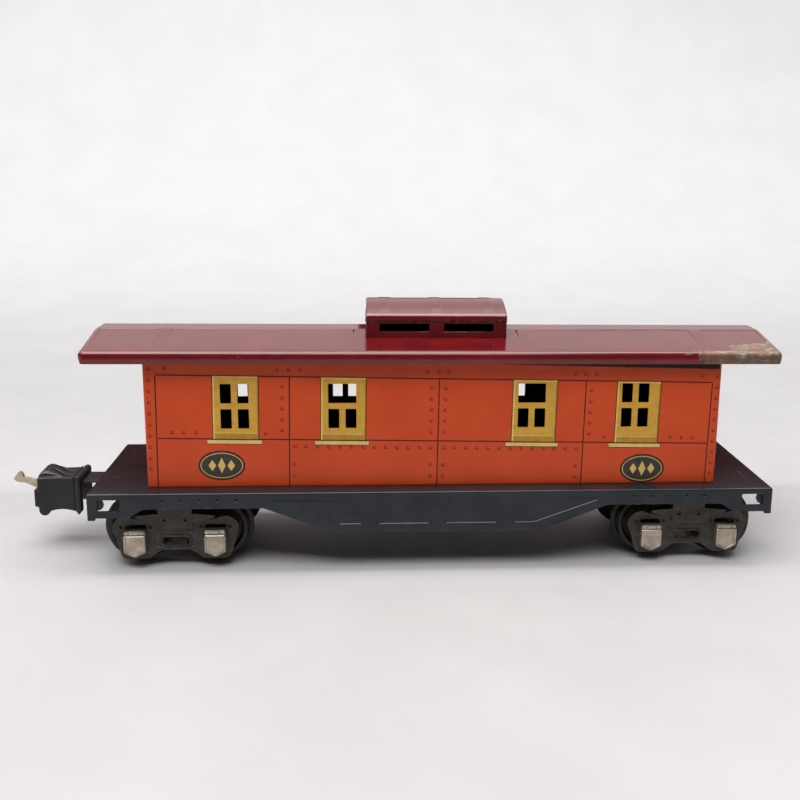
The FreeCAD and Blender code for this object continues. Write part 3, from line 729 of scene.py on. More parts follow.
def slot_rims(finish):
    """Pale marks along the rims of the platform slots."""
    x = finish.size(finish.minus(finish.size(finish.axis("X")), SLOT_X))
    near, far = (finish.size(finish.minus(finish.axis("Y"), y)) for y in SLOT_YS)
    along = finish.below(finish.math("MINIMUM", near, far), 3.1)
    return finish.times(finish.times(finish.below(x, 0.46), along), 0.8)


enamel("frame_enamel", "#262b30", "#1e2227", "#a39a90", 0.2, 0.4, slot_rims, 0.3)
litho()
enamel("roof_enamel", "#6e1619", "#601216", "#8d7c6a", 0.11, 0.55, worn_corner,
       painted_inside_shade=("cupola_walls", OVER_ALL))
enamel("cupola_enamel", "#6a1518", "#5c1115", "#a08e80", 0.12, 0.45, shine=0.68,
       painted_inside_shade=("cupola_walls", CUPOLA_LIP))
blackened("truck_steel", "#46413c", "#322e2a", "#8f887c", 0.44)
metal("journal_nickel", "#c4baa9", "#9b9182", "#6c6053", 0.3, 0.42)
blackened("wheel_metal", "#34322e", "#25241f", "#a39c90", 0.42, 0.5)
metal("axle_steel", "#8b8780", "#5d5a55", "#4a3c30", 0.3, 0.45)
blackened("coupler_black", "#1b1d1f", "#121415", "#5d5f60", 0.4, 0.05)
metal("hook_nickel", "#d8ccb4", "#b3a791", "#6f6050", 0.34, 0.48)
metal("spring_steel", "#77756f", "#4c4a46", "#40342a", 0.3, 0.42)
INKS = {
    "print_line": ("#43160c", "#35110a"),
    "print_dark": ("#2a120e", "#1e0e0b"),
    "print_frame": ("#cb9d3a", "#bd8e31"),
    "print_bevel": ("#dfbd62", "#d0ac52"),
    "print_shade": ("#b3852b", "#a07524"),
    "print_sill": ("#dfbd70", "#cfab5c"),
    "print_oval": ("#3a352d", "#302b25"),
    "print_cream": ("#d8b868", "#c9a859"),
    "print_glint": ("#cd5228", "#c44b22"),
}
for name, colours in INKS.items():
    ink(name, *colours)

# ------------------------------------------------------------------ frame pressing

frame_low, frame_high = size_of("frame_pressing")
DECK = frame_high.z
FRAME_BEND = 0.6
FRAME_SHEET = 0.8
SILL_LOW = DECK - 5.3
END_LOW = DECK - 9.0
END_SILL_LOW = DECK - 8.2
BELLY_LOW = frame_low.z
TRUCK_X = 87.5
KINGPIN_HOLE = 2.06
DIMPLE_X, DIMPLE_PITCH = 78.5, 6.03
LONG_STEPS, CROSS_STEPS = 48, 14


def sill_outline(half, top):
    """The sill's face between its end bends, with the stations of its top edge."""
    post = frame_high.x - 2.5
    bottom = mirrored([
        (34.7, BELLY_LOW, 3.0), (57.5, SILL_LOW, 3.0), (96.5, SILL_LOW, 2.0),
        (101.3, END_SILL_LOW, 2.0), (post, END_SILL_LOW, 0.2), (post, END_LOW, 0.2)])
    lower_half = [(half, END_LOW)] + bottom[5::-1]
    ring = [(-corner[0],) + tuple(corner[1:]) for corner in lower_half]
    ring += list(reversed(lower_half))
    return rounded(ring) + upper_stations(half, top, LONG_STEPS)


def upper_stations(half, top, steps):
    """Up the right edge, along the top and down the left edge."""
    heights = between(END_LOW, top, 4)
    return ([(half, z) for z in heights[1:-1]] + [(x, top) for x in between(half, -half, steps)]
            + [(-half, z) for z in reversed(heights[1:-1])])


def pressed_panels():
    """Recessed rectangles and sloped panels in the deep middle of a sill."""
    low, high, turn = DECK - 11.45, DECK - 2.4, 1.25
    depth, width = -0.42, 0.75
    presses = []
    for side in (-1, 1):
        presses.append((side_rectangle(side, 1.94, low, 20.6, high, turn), depth, width))
        sloped = [(24.45, low, turn), (32.5, low, turn), (54.3, DECK - 3.9, 0.5),
                  (54.3, high, 0.5), (24.45, high, turn)]
        if side < 0:
            sloped = [(-x, y, r) for x, y, r in reversed(sloped)]
        presses.append((rounded(sloped), depth, width))
    for side in (-1, 1):
        for step in range(-2, 3):
            centre = DIMPLE_X * side + DIMPLE_PITCH * step
            presses.append((circle(centre, DECK - 2.5, 0.6, 16), -0.45, 0.4))
    return presses


def end_flange_outline(half, top):
    """The end flange between its bends, with the notch for the coupler strap."""
    notch = arc_through((22.5, END_LOW), (18.9, DECK - 4.8), (12.5, DECK - 2.0), 10)
    foot = [(-half, END_LOW)] + [(-y, z) for y, z in notch] + list(reversed(notch))
    return foot + [(half, END_LOW)] + upper_stations(half, top, CROSS_STEPS)


def build_frame():
    mesh = bmesh.new()
    long, wide, bend = frame_high.x - FRAME_BEND, frame_high.y - FRAME_BEND, FRAME_BEND
    top = DECK - bend
    slots = [side_rectangle(s, 103.8, DECK - 5.9, 111.2, DECK - 2.0, 0.35) for s in (-1, 1)]
    for wall in side_walls(frame_high.y):
        add_patch(mesh, wall, sill_outline(long, top), slots, pressed_panels())
    for wall in end_walls(frame_high.x):
        add_patch(mesh, wall, end_flange_outline(wide, top))
    xs, ys = between(-long, long, LONG_STEPS), between(-wide, wide, CROSS_STEPS)
    edge = ([(x, -wide) for x in xs] + [(long, y) for y in ys[1:]]
            + [(x, wide) for x in reversed(xs[:-1])] + [(-long, y) for y in reversed(ys[1:-1])])
    holes = [circle(TRUCK_X * s, 0, KINGPIN_HOLE) for s in (-1, 1)]
    holes += [rectangle(x - 0.35, y - 3.15, x + 0.35, y + 3.15, 0.3)
              for x in (-SLOT_X, SLOT_X) for y in SLOT_YS]
    add_patch(mesh, floor_plane(DECK), edge, holes)
    turns = between(0.0, math.pi / 2, 4)
    for side in (-1, 1):
        add_grid(mesh, [[(x, side * (wide + bend * math.sin(t)), top + bend * math.cos(t))
                         for x in xs] for t in turns])
        add_grid(mesh, [[(side * (long + bend * math.sin(t)), y, top + bend * math.cos(t))
                         for y in ys] for t in turns])
        for other in (-1, 1):
            corner_column(mesh, side * long, other * wide, bend, side, other,
                          between(END_LOW, top, 4))
            add_grid(mesh, [[(side * (long + bend * math.sin(t) * math.sin(a)),
                              other * (wide + bend * math.sin(t) * math.cos(a)),
                              top + bend * math.cos(t)) for a in turns] for t in turns])
    make_shape("frame_pressing", mesh, "frame_enamel", "car", sheet=FRAME_SHEET, edge=0.12)


def build_corner_tabs():
    """The end flanges' rounded tabs, folded back inside the sills at the corners."""
    mesh = bmesh.new()
    inner = frame_high.y - FRAME_SHEET
    tab = rounded([(frame_high.x - 0.9, DECK - 5.7), (frame_high.x - 0.9, DECK - 2.0),
                   (109.2, DECK - 2.0, 1.8), (109.2, DECK - 5.7, 1.8)])
    for wall in side_walls(inner):
        for side in (-1, 1):
            add_prism(mesh, wall, [(side * x, z) for x, z in tab], (), -0.85, -0.05)
    make_piece("frame_corner_tabs", mesh, "frame_enamel", "car", edge=0.15)


# ------------------------------------------------------------------ body shell

body_low, body_high = size_of("body_shell")
BODY_X, BODY_Y = body_high.x, body_high.y
BODY_TOP = 74.5
CREST_HALF = 5.0
BODY_SHEET = 0.5
BODY_CORNER = 0.8
PANE_HALF, PANE_HIGH = 1.775, 6.5
PANE_STEP = 2.825
OUTER_WINDOW, INNER_WINDOW = 66.8, 31.6
LOWER_PANE, UPPER_PANE = 48.1, 56.6
TAB_XS, TAB_HALF = (-60.0, 0.0, 60.0), 3.0


def pane_holes():
    rings = []
    for side in (-1, 1):
        outer, inner = OUTER_WINDOW * side, INNER_WINDOW * side
        for middle, lows in ((outer, (LOWER_PANE, UPPER_PANE)), (inner, (LOWER_PANE,))):
            for centre in (middle - PANE_STEP, middle + PANE_STEP):
                rings += [rectangle(centre - PANE_HALF, low, centre + PANE_HALF,
                                    low + PANE_HIGH, 0.2) for low in lows]
        reach = PANE_STEP + PANE_HALF
        rings.append(rectangle(inner - reach, UPPER_PANE, inner + reach,
                               UPPER_PANE + PANE_HIGH, 0.2))
    return rings


DOOR_PANE = rectangle(-3.6, 50.0, 3.6, 62.0, 0.3)


def build_body():
    mesh = bmesh.new()
    long, wide = BODY_X - BODY_CORNER, BODY_Y - BODY_CORNER
    heights = between(DECK, BODY_TOP, 6)
    for wall in side_walls(BODY_Y):
        add_patch(mesh, wall, wall_outline(long, heights), pane_holes())
    crown = ((CREST_HALF, body_high.z), (-CREST_HALF, body_high.z))
    for wall in end_walls(BODY_X):
        add_patch(mesh, wall, wall_outline(wide, heights, crown=crown), [DOOR_PANE])
    add_corners(mesh, long, wide, BODY_CORNER, heights)
    make_shape("body_shell", mesh, "body_litho", "car", sheet=BODY_SHEET, edge=0.06)


def build_body_tabs():
    """The body's tabs, through the deck and folded over beneath it."""
    mesh = bmesh.new()
    under = DECK - FRAME_SHEET - 0.05
    fold = [(0.0, DECK), (0.0, body_low.z), (-TAB_HALF, body_low.z), (-TAB_HALF, under),
            (-BODY_SHEET, under), (-BODY_SHEET, DECK)]
    for wall in side_walls(BODY_Y):
        for x in TAB_XS:
            add_loft(mesh, [[wall(end, z, w) for w, z in fold]
                            for end in (x - TAB_HALF, x + TAB_HALF)])
    make_piece("body_tabs", mesh, "body_litho", "car", edge=0.12)


# ------------------------------------------------------------------ lithographed print

PRINT_TURN = 0.015
PRINT_PIVOT = 44.0
MIDDLE_LINE, TOP_LINE = 43.5, 64.8
PRINT_MIDDLE = 0.2
PANEL_LINE, BORDER_LINE = 49.3, 92.5
LINE_HALF = 0.2
WINDOW_HALF = 7.35
SILL_HALF = 8.9
OVAL_XS, OVAL_Z, OVAL_HALF, OVAL_TALL = (-71.4, 70.5), 34.4, 7.7, 0.665
DOOR_HALF, DOOR_TOP, DOOR_PANEL_HALF = 8.2, 65.0, 6.2
RIVET_PITCH = 3.76
INK = 0.02


def on_sheet(u, v):
    """The print lies slightly turned on the sheet that was cut from it."""
    return (u + (v - PRINT_PIVOT) * PRINT_TURN, v - u * PRINT_TURN)


def stripe(left, low, right, high):
    return [on_sheet(*point) for point in rectangle(left, low, right, high)]


def rivet_places():
    """Printed rivets, on one pitch along the panel edges."""
    places = []
    for side in (-1, 1):
        places += [(94.4 * side, 66.8 - RIVET_PITCH * step) for step in range(10)]
        places.append((89.2 * side, 67.0))
        places += [(51.4 * side, 46.5 + 3.72 * step) for step in range(5)]
        places += [(2.3 * side + 0.1, 46.6 + 3.75 * step) for step in range(5)]
        places += [(side * x, 45.5) for x in (56.8, 79.6, 83.5, 87.3)]
        places += [(side * (2.2 + RIVET_PITCH * step), 41.1) for step in range(13)]
        places += [(side * x, z) for x in (2.1, 47.4) for z in (31.2, 35.1)]
    for centre in (-PANEL_LINE, PRINT_MIDDLE - 0.3, PANEL_LINE):
        places += [(centre + shift, 67.1) for shift in (-3.7, 0.0, 3.6)]
    return places


def crescent(u, v, radius, thick, lean):
    """Ring outline and its off-centre hole, thicker on the side that lean points away from."""
    return (circle(u, v, radius, 14),
            circle(u + lean, v + lean, radius - thick, 14))


def diamond(u, v, wide, tall):
    return [(u - wide, v), (u, v - tall), (u + wide, v), (u, v + tall)]


def window_centres():
    return [side * centre + 0.5 for side in (-1, 1) for centre in (31.9, 67.15)]


def ink_layers():
    """The side print as {material: [(outline, holes, level)]}."""
    panes = [inset(ring, -0.04) for ring in pane_holes()]
    layers = {name: [] for name in INKS}
    left, right = PRINT_MIDDLE - BORDER_LINE, PRINT_MIDDLE + BORDER_LINE
    lines = layers["print_line"]
    for v in (MIDDLE_LINE, TOP_LINE):
        lines.append((stripe(left, v - LINE_HALF, right, v + LINE_HALF), (), 1))
    for u in (left, PRINT_MIDDLE - PANEL_LINE, PRINT_MIDDLE, PRINT_MIDDLE + PANEL_LINE, right):
        low = DECK + 0.1 + u * PRINT_TURN
        for bottom, top in ((low, MIDDLE_LINE - LINE_HALF),
                            (MIDDLE_LINE + LINE_HALF, TOP_LINE - LINE_HALF)):
            lines.append((stripe(u - LINE_HALF, bottom, u + LINE_HALF, top), (), 1))
    # A dark strip along the top of the side just under the eave, widening towards the rear.
    edge = BODY_X - BODY_CORNER
    layers["print_dark"].append(([(-20.0, 70.5), (edge, 69.4 - edge * PRINT_TURN),
                                  (edge, 71.6), (-20.0, 71.6)], (), 1))
    for centre in window_centres():
        low, high = MIDDLE_LINE + 0.1, TOP_LINE - 0.1
        a, b = centre - WINDOW_HALF, centre + WINDOW_HALF
        here = [ring for ring in panes if abs(ring[0][0] - centre) < WINDOW_HALF]
        lines.append((stripe(a - 0.28, low - 0.1, b + 0.28, high + 0.1), here, 2))
        layers["print_frame"].append((stripe(a, low, b, high), here, 3))
        layers["print_bevel"] += [
            (stripe(a, low, a + 0.55, high), (), 4),
            (stripe(a + 0.55, high - 0.45, b, high), (), 4),
            (stripe(a + 0.55, low + 1.85, b - 0.5, low + 2.05), (), 4),
        ]
        layers["print_shade"] += [
            (stripe(a + 0.55, low, b, low + 1.85), (), 4),
            (stripe(b - 0.4, low + 2.05, b, high - 0.45), (), 4),
        ]
        sill_low, sill_high = MIDDLE_LINE - 1.6, MIDDLE_LINE - 0.35
        a, b = centre - 0.4 - SILL_HALF, centre - 0.4 + SILL_HALF
        layers["print_dark"].append((stripe(a - 0.15, sill_low - 0.22, b + 0.15,
                                            sill_high + 0.12), (), 2))
        layers["print_sill"].append((stripe(a, sill_low, b, sill_high), (), 3))
    for u, v in rivet_places():
        u, v = on_sheet(u, v)
        outline, hole = crescent(u, v, 0.6, 0.24, 0.09)
        lines.append((outline, (hole,), 1))
        layers["print_glint"].append((circle(u + 0.12, v + 0.12, 0.26, 10), (), 1))
    for u in OVAL_XS:
        centre = on_sheet(u, OVAL_Z)
        oval = circle(*centre, OVAL_HALF, 56, OVAL_TALL)
        lines.append((oval, (), 2))
        layers["print_oval"].append((inset(oval, 0.3), (), 3))
        layers["print_cream"].append((inset(oval, 0.75), (inset(oval, 1.0),), 4))
        for step in (-1, 0, 1):
            tall = 2.7 if step == 0 else 1.9
            layers["print_cream"].append(
                (diamond(centre[0] + 3.1 * step, centre[1], 1.25, tall), (), 4))
    return layers


def add_ink(mesh, wall, outline, holes=(), level=1):
    add_prism(mesh, wall, outline, holes, -0.01, INK * level)


def make_print(name, mesh, look):
    make_piece(name, mesh, look, "car", "body_litho", weld=0.0001, smooth=False)


def build_print():
    """The side print, a few hundredths proud of the sheet on both long walls."""
    layers = ink_layers()
    for side, wall in zip(("near", "far"), side_walls(BODY_Y)):
        for name, shapes in layers.items():
            mesh = bmesh.new()
            for outline, holes, level in shapes:
                add_ink(mesh, wall, outline, holes, level)
            make_print(f"{name}_{side}", mesh, name)


def build_end_print():
    """Door, its window frame and panel lines printed on each end wall."""
    for end, wall in (("front", left_wall(BODY_X)), ("rear", right_wall(BODY_X))):
        lines, frames, bevels = bmesh.new(), bmesh.new(), bmesh.new()
        rim = BODY_Y - BODY_CORNER - 2.6
        for ring, width in ((rectangle(-rim, DECK + 0.3, rim, 66.5), 0.34),
                            (rectangle(-DOOR_HALF, DECK + 0.3, DOOR_HALF, DOOR_TOP, 0.3), 0.34),
                            *((rectangle(-DOOR_PANEL_HALF, low, DOOR_PANEL_HALF, high, 0.4), 0.3)
                              for low, high in ((DECK + 2.6, 36.6), (38.4, 46.4)))):
            add_ink(lines, wall, ring, (inset(ring, width),))
        add_ink(frames, wall, rectangle(-5.4, 47.8, 5.4, 64.0), (inset(DOOR_PANE, -0.04),), 2)
        for side in (-1, 1):
            for step in range(10):
                outline, hole = crescent(side * 22.0, 66.8 - RIVET_PITCH * step, 0.6, 0.2,
                                         0.07)
                add_ink(lines, wall, outline, (hole,))
        for shape in (rectangle(-5.4, 63.5, 5.4, 64.0), rectangle(-6.0, 46.6, 6.0, 47.5),
                      circle(7.1, 45.0, 0.55, 16)):
            add_ink(bevels, wall, shape, level=3)
        make_print(f"print_end_lines_{end}", lines, "print_line")
        make_print(f"print_end_frame_{end}", frames, "print_frame")
        make_print(f"print_end_bevels_{end}", bevels, "print_sill")


# ------------------------------------------------------------------ roof and cupola

roof_low, roof_high = size_of("roof")
ROOF_X, ROOF_Y = roof_high.x, roof_high.y
CREST = roof_high.z
ROOF_FALL = (CREST - BODY_TOP) / (ROOF_Y - CREST_HALF)
ROOF_CORNER = 1.9
SHOULDER = 1.7
ROOF_SHEET = 0.6
END_SKIRT_LOW = 72.3
CURL = 0.3
ROOF_PANELS = ((31.5, 89.0), (93.6, 112.9))
PANEL_EDGE = 0.38
PANEL_SINK = 0.25
SLIT_X, SLIT_HALF = 27.9, 0.25
SLIT_NEAR, SLIT_FAR, SLIT_DEPTH = 6.2, 13.2, 0.55
KNEE = 0.8
# Stations across the roof at the panels' upper edge and at both ends of the slits.
ACROSS_EDGES = [5.1, 5.16, 5.22, 5.29, 5.35, SLIT_NEAR - 0.01, SLIT_NEAR + 0.01,
                SLIT_FAR - 0.01, SLIT_FAR + 0.01]


def roof_height(x, y):
    """Top of the roof over a point of its plan."""
    away = abs(y)
    past = away - CREST_HALF
    drop = 0.0
    if past > KNEE:
        drop = past
    elif past > -KNEE:
        drop = (past + KNEE) ** 2 / (4 * KNEE)
    height = CREST - ROOF_FALL * drop
    along = max(smooth_step((abs(x) - low) / PANEL_EDGE) * smooth_step((high - abs(x)) / PANEL_EDGE)
                for low, high in ROOF_PANELS)
    across = smooth_step((past - 0.1) / 0.25) * min(1.0, max(0.0, (24.0 - away) / 17.0))
    height -= PANEL_SINK * along * across
    if abs(abs(x) - SLIT_X) < SLIT_HALF and SLIT_NEAR < away < SLIT_FAR:
        height -= SLIT_DEPTH
    return height


def roof_stations():
    """Places along the roof, close together where its surface turns."""
    half = {0.0, SLIT_X - SLIT_HALF * 1.1, SLIT_X - SLIT_HALF * 0.9,
            SLIT_X + SLIT_HALF * 0.9, SLIT_X + SLIT_HALF * 1.1}
    for low, high in ROOF_PANELS:
        half.update(low + PANEL_EDGE * step / 4 for step in range(5))
        half.update(high - PANEL_EDGE * step / 4 for step in range(5))
    half.update(between(4.0, ROOF_X - ROOF_CORNER, 27))
    return both_ways(sorted(half))


def build_roof():
    mesh = bmesh.new()
    xs = roof_stations()
    long, wide = ROOF_X - ROOF_CORNER, ROOF_Y - ROOF_CORNER
    ys = both_ways(sorted(set(
        between(0.0, CREST_HALF - KNEE, 3) + between(CREST_HALF - 0.6, SLIT_NEAR, 9)
        + ACROSS_EDGES + between(7.0, wide, 18))))
    add_grid(mesh, [[(x, y, roof_height(x, y)) for y in ys] for x in xs])
    edge = [(x, -wide, 0.0, -1.0) for x in xs]
    turns = between(0.0, math.pi / 2, 7)
    edge += [(long, -wide, math.sin(t), -math.cos(t)) for t in turns]
    edge += [(long, y, 1.0, 0.0) for y in ys]
    edge += [(long, wide, math.cos(t), math.sin(t)) for t in turns]
    edge += [(x, wide, 0.0, 1.0) for x in reversed(xs)]
    edge += [(-long, wide, -math.sin(t), math.cos(t)) for t in turns]
    edge += [(-long, y, -1.0, 0.0) for y in reversed(ys)]
    edge += [(-long, -wide, -math.cos(t), -math.sin(t)) for t in turns]
    rings = [[] for _ in range(11)]
    for x, y, nx, ny in edge:
        first = math.atan(ROOF_FALL) * abs(ny)
        rings[0].append((x, y, roof_height(x, y)))
        out = ROOF_CORNER - SHOULDER * (1 - math.sin(first))
        start = roof_height(x + nx * out, y + ny * out)
        level = start - SHOULDER * math.cos(first)
        for place, turn in enumerate(between(first, math.pi / 2, 6)):
            out = ROOF_CORNER - SHOULDER * (1 - math.sin(turn))
            rings[place + 1].append((x + nx * out, y + ny * out,
                                     level + SHOULDER * math.cos(turn)))
        bottom = roof_low.z + (END_SKIRT_LOW - roof_low.z) * smooth_step((abs(nx) - 0.8) / 0.2)
        for place, share in enumerate((0.45, 0.75, 1.0)):
            out = ROOF_CORNER - CURL * share ** 3
            rings[place + 8].append((x + nx * out, y + ny * out,
                                     level + (bottom - level) * share))
    add_grid(mesh, rings, closed=True)
    make_shape("roof", mesh, "roof_enamel", "car", sheet=ROOF_SHEET, edge=0.12)


cupola_low, cupola_high = size_of("cupola_roof")
CUPOLA_X, CUPOLA_Y = cupola_high.x, cupola_high.y
LIP_LOW, LIP_TOP = cupola_low.z, 84.25
BAND_RISE, BAND_HALF, BAND_PITCH, BAND_EDGE = 0.16, 2.0, 17.5, 0.3
END_ROUND, LIP_RISE, LIP_SHARE = 0.8, 0.45, 0.93
ARCH_TOP = cupola_high.z - BAND_RISE
CUPOLA_SHEET = 0.5
CROWN_SHARES = ([-1.0, -0.99, -0.975, -0.955, -0.93] + between(-0.9, 0.9, 28)
                + [0.93, 0.955, 0.975, 0.99, 1.0])
CUPOLA_CORNER = 0.6


def arch_height(y, half, base, top):
    """Height of a circular arch over y."""
    rise = top - base
    radius = (half * half + rise * rise) / (2 * rise)
    return top - radius + math.sqrt(max(0.0, radius * radius - y * y))


def build_cupola_roof():
    mesh = bmesh.new()
    stations = {0.0, 5.0, 7.5, 10.0, 12.5, 21.0}
    for centre in (0.0, BAND_PITCH):
        for side in (-1, 1):
            stations.update(centre + side * (BAND_HALF - BAND_EDGE * step / 3)
                            for step in range(4))
    stations.update(CUPOLA_X - share for share in (0.0, 0.08, 0.2, 0.4, 0.7, 1.0, 1.6))
    rows = []
    for x in both_ways(sorted(x for x in stations if x >= 0)):
        band = max(smooth_step((BAND_HALF - abs(x - centre)) / BAND_EDGE)
                   for centre in (-BAND_PITCH, 0.0, BAND_PITCH))
        inward = max(0.0, END_ROUND - (CUPOLA_X - abs(x))) / END_ROUND
        fall = LIP_RISE * (1 - math.sqrt(max(0.0, 1 - inward * inward)))
        row = [(x, -CUPOLA_Y, LIP_LOW), (x, -CUPOLA_Y, LIP_LOW + 0.25),
               (x, -CUPOLA_Y + 0.04, LIP_TOP - 0.35)]
        for share in CROWN_SHARES:
            rise = band * BAND_RISE * smooth_step((1 - abs(share)) * 4)
            lip = LIP_RISE * max(0.0, (abs(share) - LIP_SHARE) / 0.07) ** 2
            crown = (ARCH_TOP - LIP_TOP - LIP_RISE) * (1 - abs(share) ** 1.7)
            row.append((x, share * (CUPOLA_Y - 0.1),
                        LIP_TOP + LIP_RISE + crown + rise - fall - lip))
        rows.append(row + [(x, -y, z) for x, y, z in reversed(row[:3])])
    add_grid(mesh, rows)
    make_shape("cupola_roof", mesh, "cupola_enamel", "car", "roof_enamel", sheet=CUPOLA_SHEET,
               edge=0.12)


def build_cupola_walls():
    mesh = bmesh.new()
    low, high = size_of("cupola_walls")
    wide, long = high.y - CUPOLA_CORNER, high.x - CUPOLA_CORNER
    top = LIP_TOP - 0.2
    heights = between(low.z, top, 4)
    panes = [side_rectangle(s, 2.5, 78.9, 19.25, 81.6, 0.3) for s in (-1, 1)]
    for wall in side_walls(high.y):
        add_patch(mesh, wall, wall_outline(long, heights), panes)
    foot = ((-CREST_HALF, CREST), (CREST_HALF, CREST))
    crown = [(y, arch_height(y, high.y, top, ARCH_TOP - CUPOLA_SHEET))
             for y in between(wide, -wide, 16)[1:-1]]
    for wall in end_walls(high.x):
        add_patch(mesh, wall, wall_outline(wide, heights, foot, crown))
    add_corners(mesh, long, wide, CUPOLA_CORNER, heights)
    make_shape("cupola_walls", mesh, "cupola_enamel", "car", "roof_enamel",
               sheet=CUPOLA_SHEET, edge=0.1)


def build_cupola_bead():
    """A thin rolled bead round the cupola just under its roof's lip."""
    mesh = bmesh.new()
    _, high = size_of("cupola_walls")
    ring = rectangle(-high.x, -high.y, high.x, high.y, CUPOLA_CORNER, 5)
    rows = []
    for turn in between(0.0, math.tau, 8)[:-1]:
        draw = inset(ring, -0.1 - 0.18 * math.cos(turn))
        rows.append([(x, y, LIP_LOW - 0.55 + 0.18 * math.sin(turn)) for x, y in draw])
    add_grid(mesh, rows + rows[:1], closed=True)
    make_piece("cupola_bead", mesh, "cupola_enamel", "car", "roof_enamel")


# ------------------------------------------------------------------ trucks

AXLE_Z = 11.9
AXLE_HALF_BASE = 13.2
RIVET_X, RIVET_Z = 3.4, 17.1
SIDE_SHEET = 1.0


def side_frame_ring():
    shoulder = arc_through((20.2, 11.0), (20.6, 15.2), (14.3, 17.2), 9)
    half = [(4.8, 6.1, 1.6), (9.4, 2.9, 1.2), (17.8, 2.9, 2.4)]
    half += [point + (0.0,) for point in shoulder]
    half += [(7.4, 15.8, 1.0), (5.0, 14.6, 0.5), (5.0, 22.9, 0.3)]
    return rounded(mirrored(half), 4)


def build_side_frame(end, truck_x, place):
    """Pressed side frame: slotted bar, recessed field and flanged openings."""
    _, high = size_of(f"{end}_side_frame_far")
    mesh = bmesh.new()
    face = high.y
    wall = near_wall(face) if place == "near" else far_wall(face)
    holes = [rectangle(-4.65, 7.9, 4.65, 10.7, 1.38, 7)]
    presses = [(inset(holes[0], -0.75), 0.4, 0.45),
               (rectangle(-7.4, 6.9, 7.4, 12.9, 1.2), -0.3, 0.5)]
    for side in (-1, 1):
        centre = AXLE_HALF_BASE * side
        holes.append(circle(centre, AXLE_Z, 1.16, 20))
        holes.append(rectangle(centre - 3.5, 13.6, centre + 3.5, 15.0, 0.6))
        for dimple in (-4.7, 4.7):
            presses.append((circle(centre + dimple, 14.2, 0.7, 14), -0.5, 0.5))
    shift = truck_x if place == "near" else -truck_x
    add_patch(mesh, lambda u, v, w=0.0: wall(u + shift, v, w), side_frame_ring(), holes,
              presses)
    make_shape(f"{end}_side_frame_{place}", mesh, "truck_steel", f"{end}_truck",
               sheet=SIDE_SHEET, edge=0.14)


COVER_TOP = 12.3
COVER_RIM = ((0.1, 0.0), (0.0, 0.3), (0.0, 2.75), (0.1, 3.1), (0.3, 3.32), (0.5, 3.4),
             (0.68, 3.32), (0.85, 3.0), (1.0, 2.92))
COVER_DEPTH = 3.4


def cover_ring(draw, top):
    """Outline of a cover's face drawn in by a distance."""
    half, low, turn = 3.65 - draw, 6.1 + draw * 0.6, 0.9 - draw * 0.4
    return rounded([(0.0, 4.3 + draw * 1.1, 1.4), (half, low, turn), (half, top - draw, 0.5),
                    (-half, top - draw, 0.5), (-half, low, turn)], 5)


def add_journal_cover(mesh, place):
    """Plated journal cover: a pointed face with a raised rim under a folded, notched top."""
    add_loft(mesh, [[place(u, v, level) for u, v in cover_ring(draw, COVER_TOP)]
                    for draw, level in COVER_RIM])
    top = rectangle(-3.5, 11.6, 3.5, 13.85, 0.75, 5)
    add_layers(mesh, place, top, [(0.1, 0.0), (0.0, 0.2), (0.0, 2.2), (0.15, 2.5),
                                  (0.4, 2.6)])
    for left, right in ((-3.3, -1.8), (-1.35, 1.35), (1.8, 3.3)):
        add_layers(mesh, place, rectangle(left, 12.42, right, 13.5, 0.2),
                   [(0.0, 2.3), (0.0, 2.85), (0.06, 3.05), (0.17, 3.15)])


def build_covers(end, truck_x):
    _, high = size_of(f"{end}_journal_covers")
    face = high.y - COVER_DEPTH
    mesh = bmesh.new()
    for axle in (-1, 1):
        for wall, turn in ((near_wall(face), 1), (far_wall(face), -1)):
            middle = turn * (truck_x + AXLE_HALF_BASE * axle)
            add_journal_cover(mesh, lambda u, v, w=0.0: wall(u + middle, v, w))
    make_shape(f"{end}_journal_covers", mesh, "journal_nickel", f"{end}_truck", weld=0.0005)


WHEEL_BACK, WHEEL_FACE = 14.3, 19.7


def wheel_section(side):
    """Closed wheel section as (radius, y), its corners turned through small arcs."""
    web, hub = WHEEL_FACE - 1.8, WHEEL_FACE - 1.55
    section = [(1.56, WHEEL_BACK, 0.0), (3.2, WHEEL_BACK, 0.2), (3.6, WHEEL_BACK + 0.5, 0.2),
               (8.9, WHEEL_BACK + 0.5, 0.2), (9.5, WHEEL_BACK, 0.2), (11.9, WHEEL_BACK, 0.45),
               (11.9, 15.55, 0.5), (10.55, 15.75, 0.25), (10.2, WHEEL_FACE, 0.35),
               (8.7, WHEEL_FACE, 0.3), (8.2, web, 0.35), (6.4, web, 0.1), (6.1, hub, 0.1),
               (3.5, hub, 0.4), (3.0, WHEEL_FACE, 0.3), (1.56, WHEEL_FACE, 0.0)]
    return [(radius, y * side) for radius, y in rounded(section, 4)]


def build_wheelset(name, x):
    for place, side in (("near", -1), ("far", 1)):
        mesh = bmesh.new()
        add_lathe(mesh, wheel_section(side), (x, AXLE_Z))
        make_shape(f"{name}_wheel_{place}", mesh, "wheel_metal", f"{name}_wheelset")
    softened(f"{name}_axle", "axle_steel", f"{name}_wheelset", 0.15)


def build_truck_rivets(end, truck_x):
    """Hollow rivets, opened out over the bolster's tabs."""
    _, high = size_of(f"{end}_frame_rivets")
    face = high.y
    mesh = bmesh.new()
    section = [(0.0, face - 2.1), (0.66, face - 2.1), (0.66, face - 0.1), (0.84, face + 0.02),
               (0.86, face + 0.12), (0.72, face + 0.16), (0.58, face + 0.08),
               (0.5, face - 0.6), (0.0, face - 0.6)]
    for side in (-1, 1):
        for x in (-RIVET_X, RIVET_X):
            add_lathe(mesh, [(radius, y * side) for radius, y in section],
                      (truck_x + x, RIVET_Z), 20)
    make_shape(f"{end}_frame_rivets", mesh, "truck_steel", f"{end}_truck")


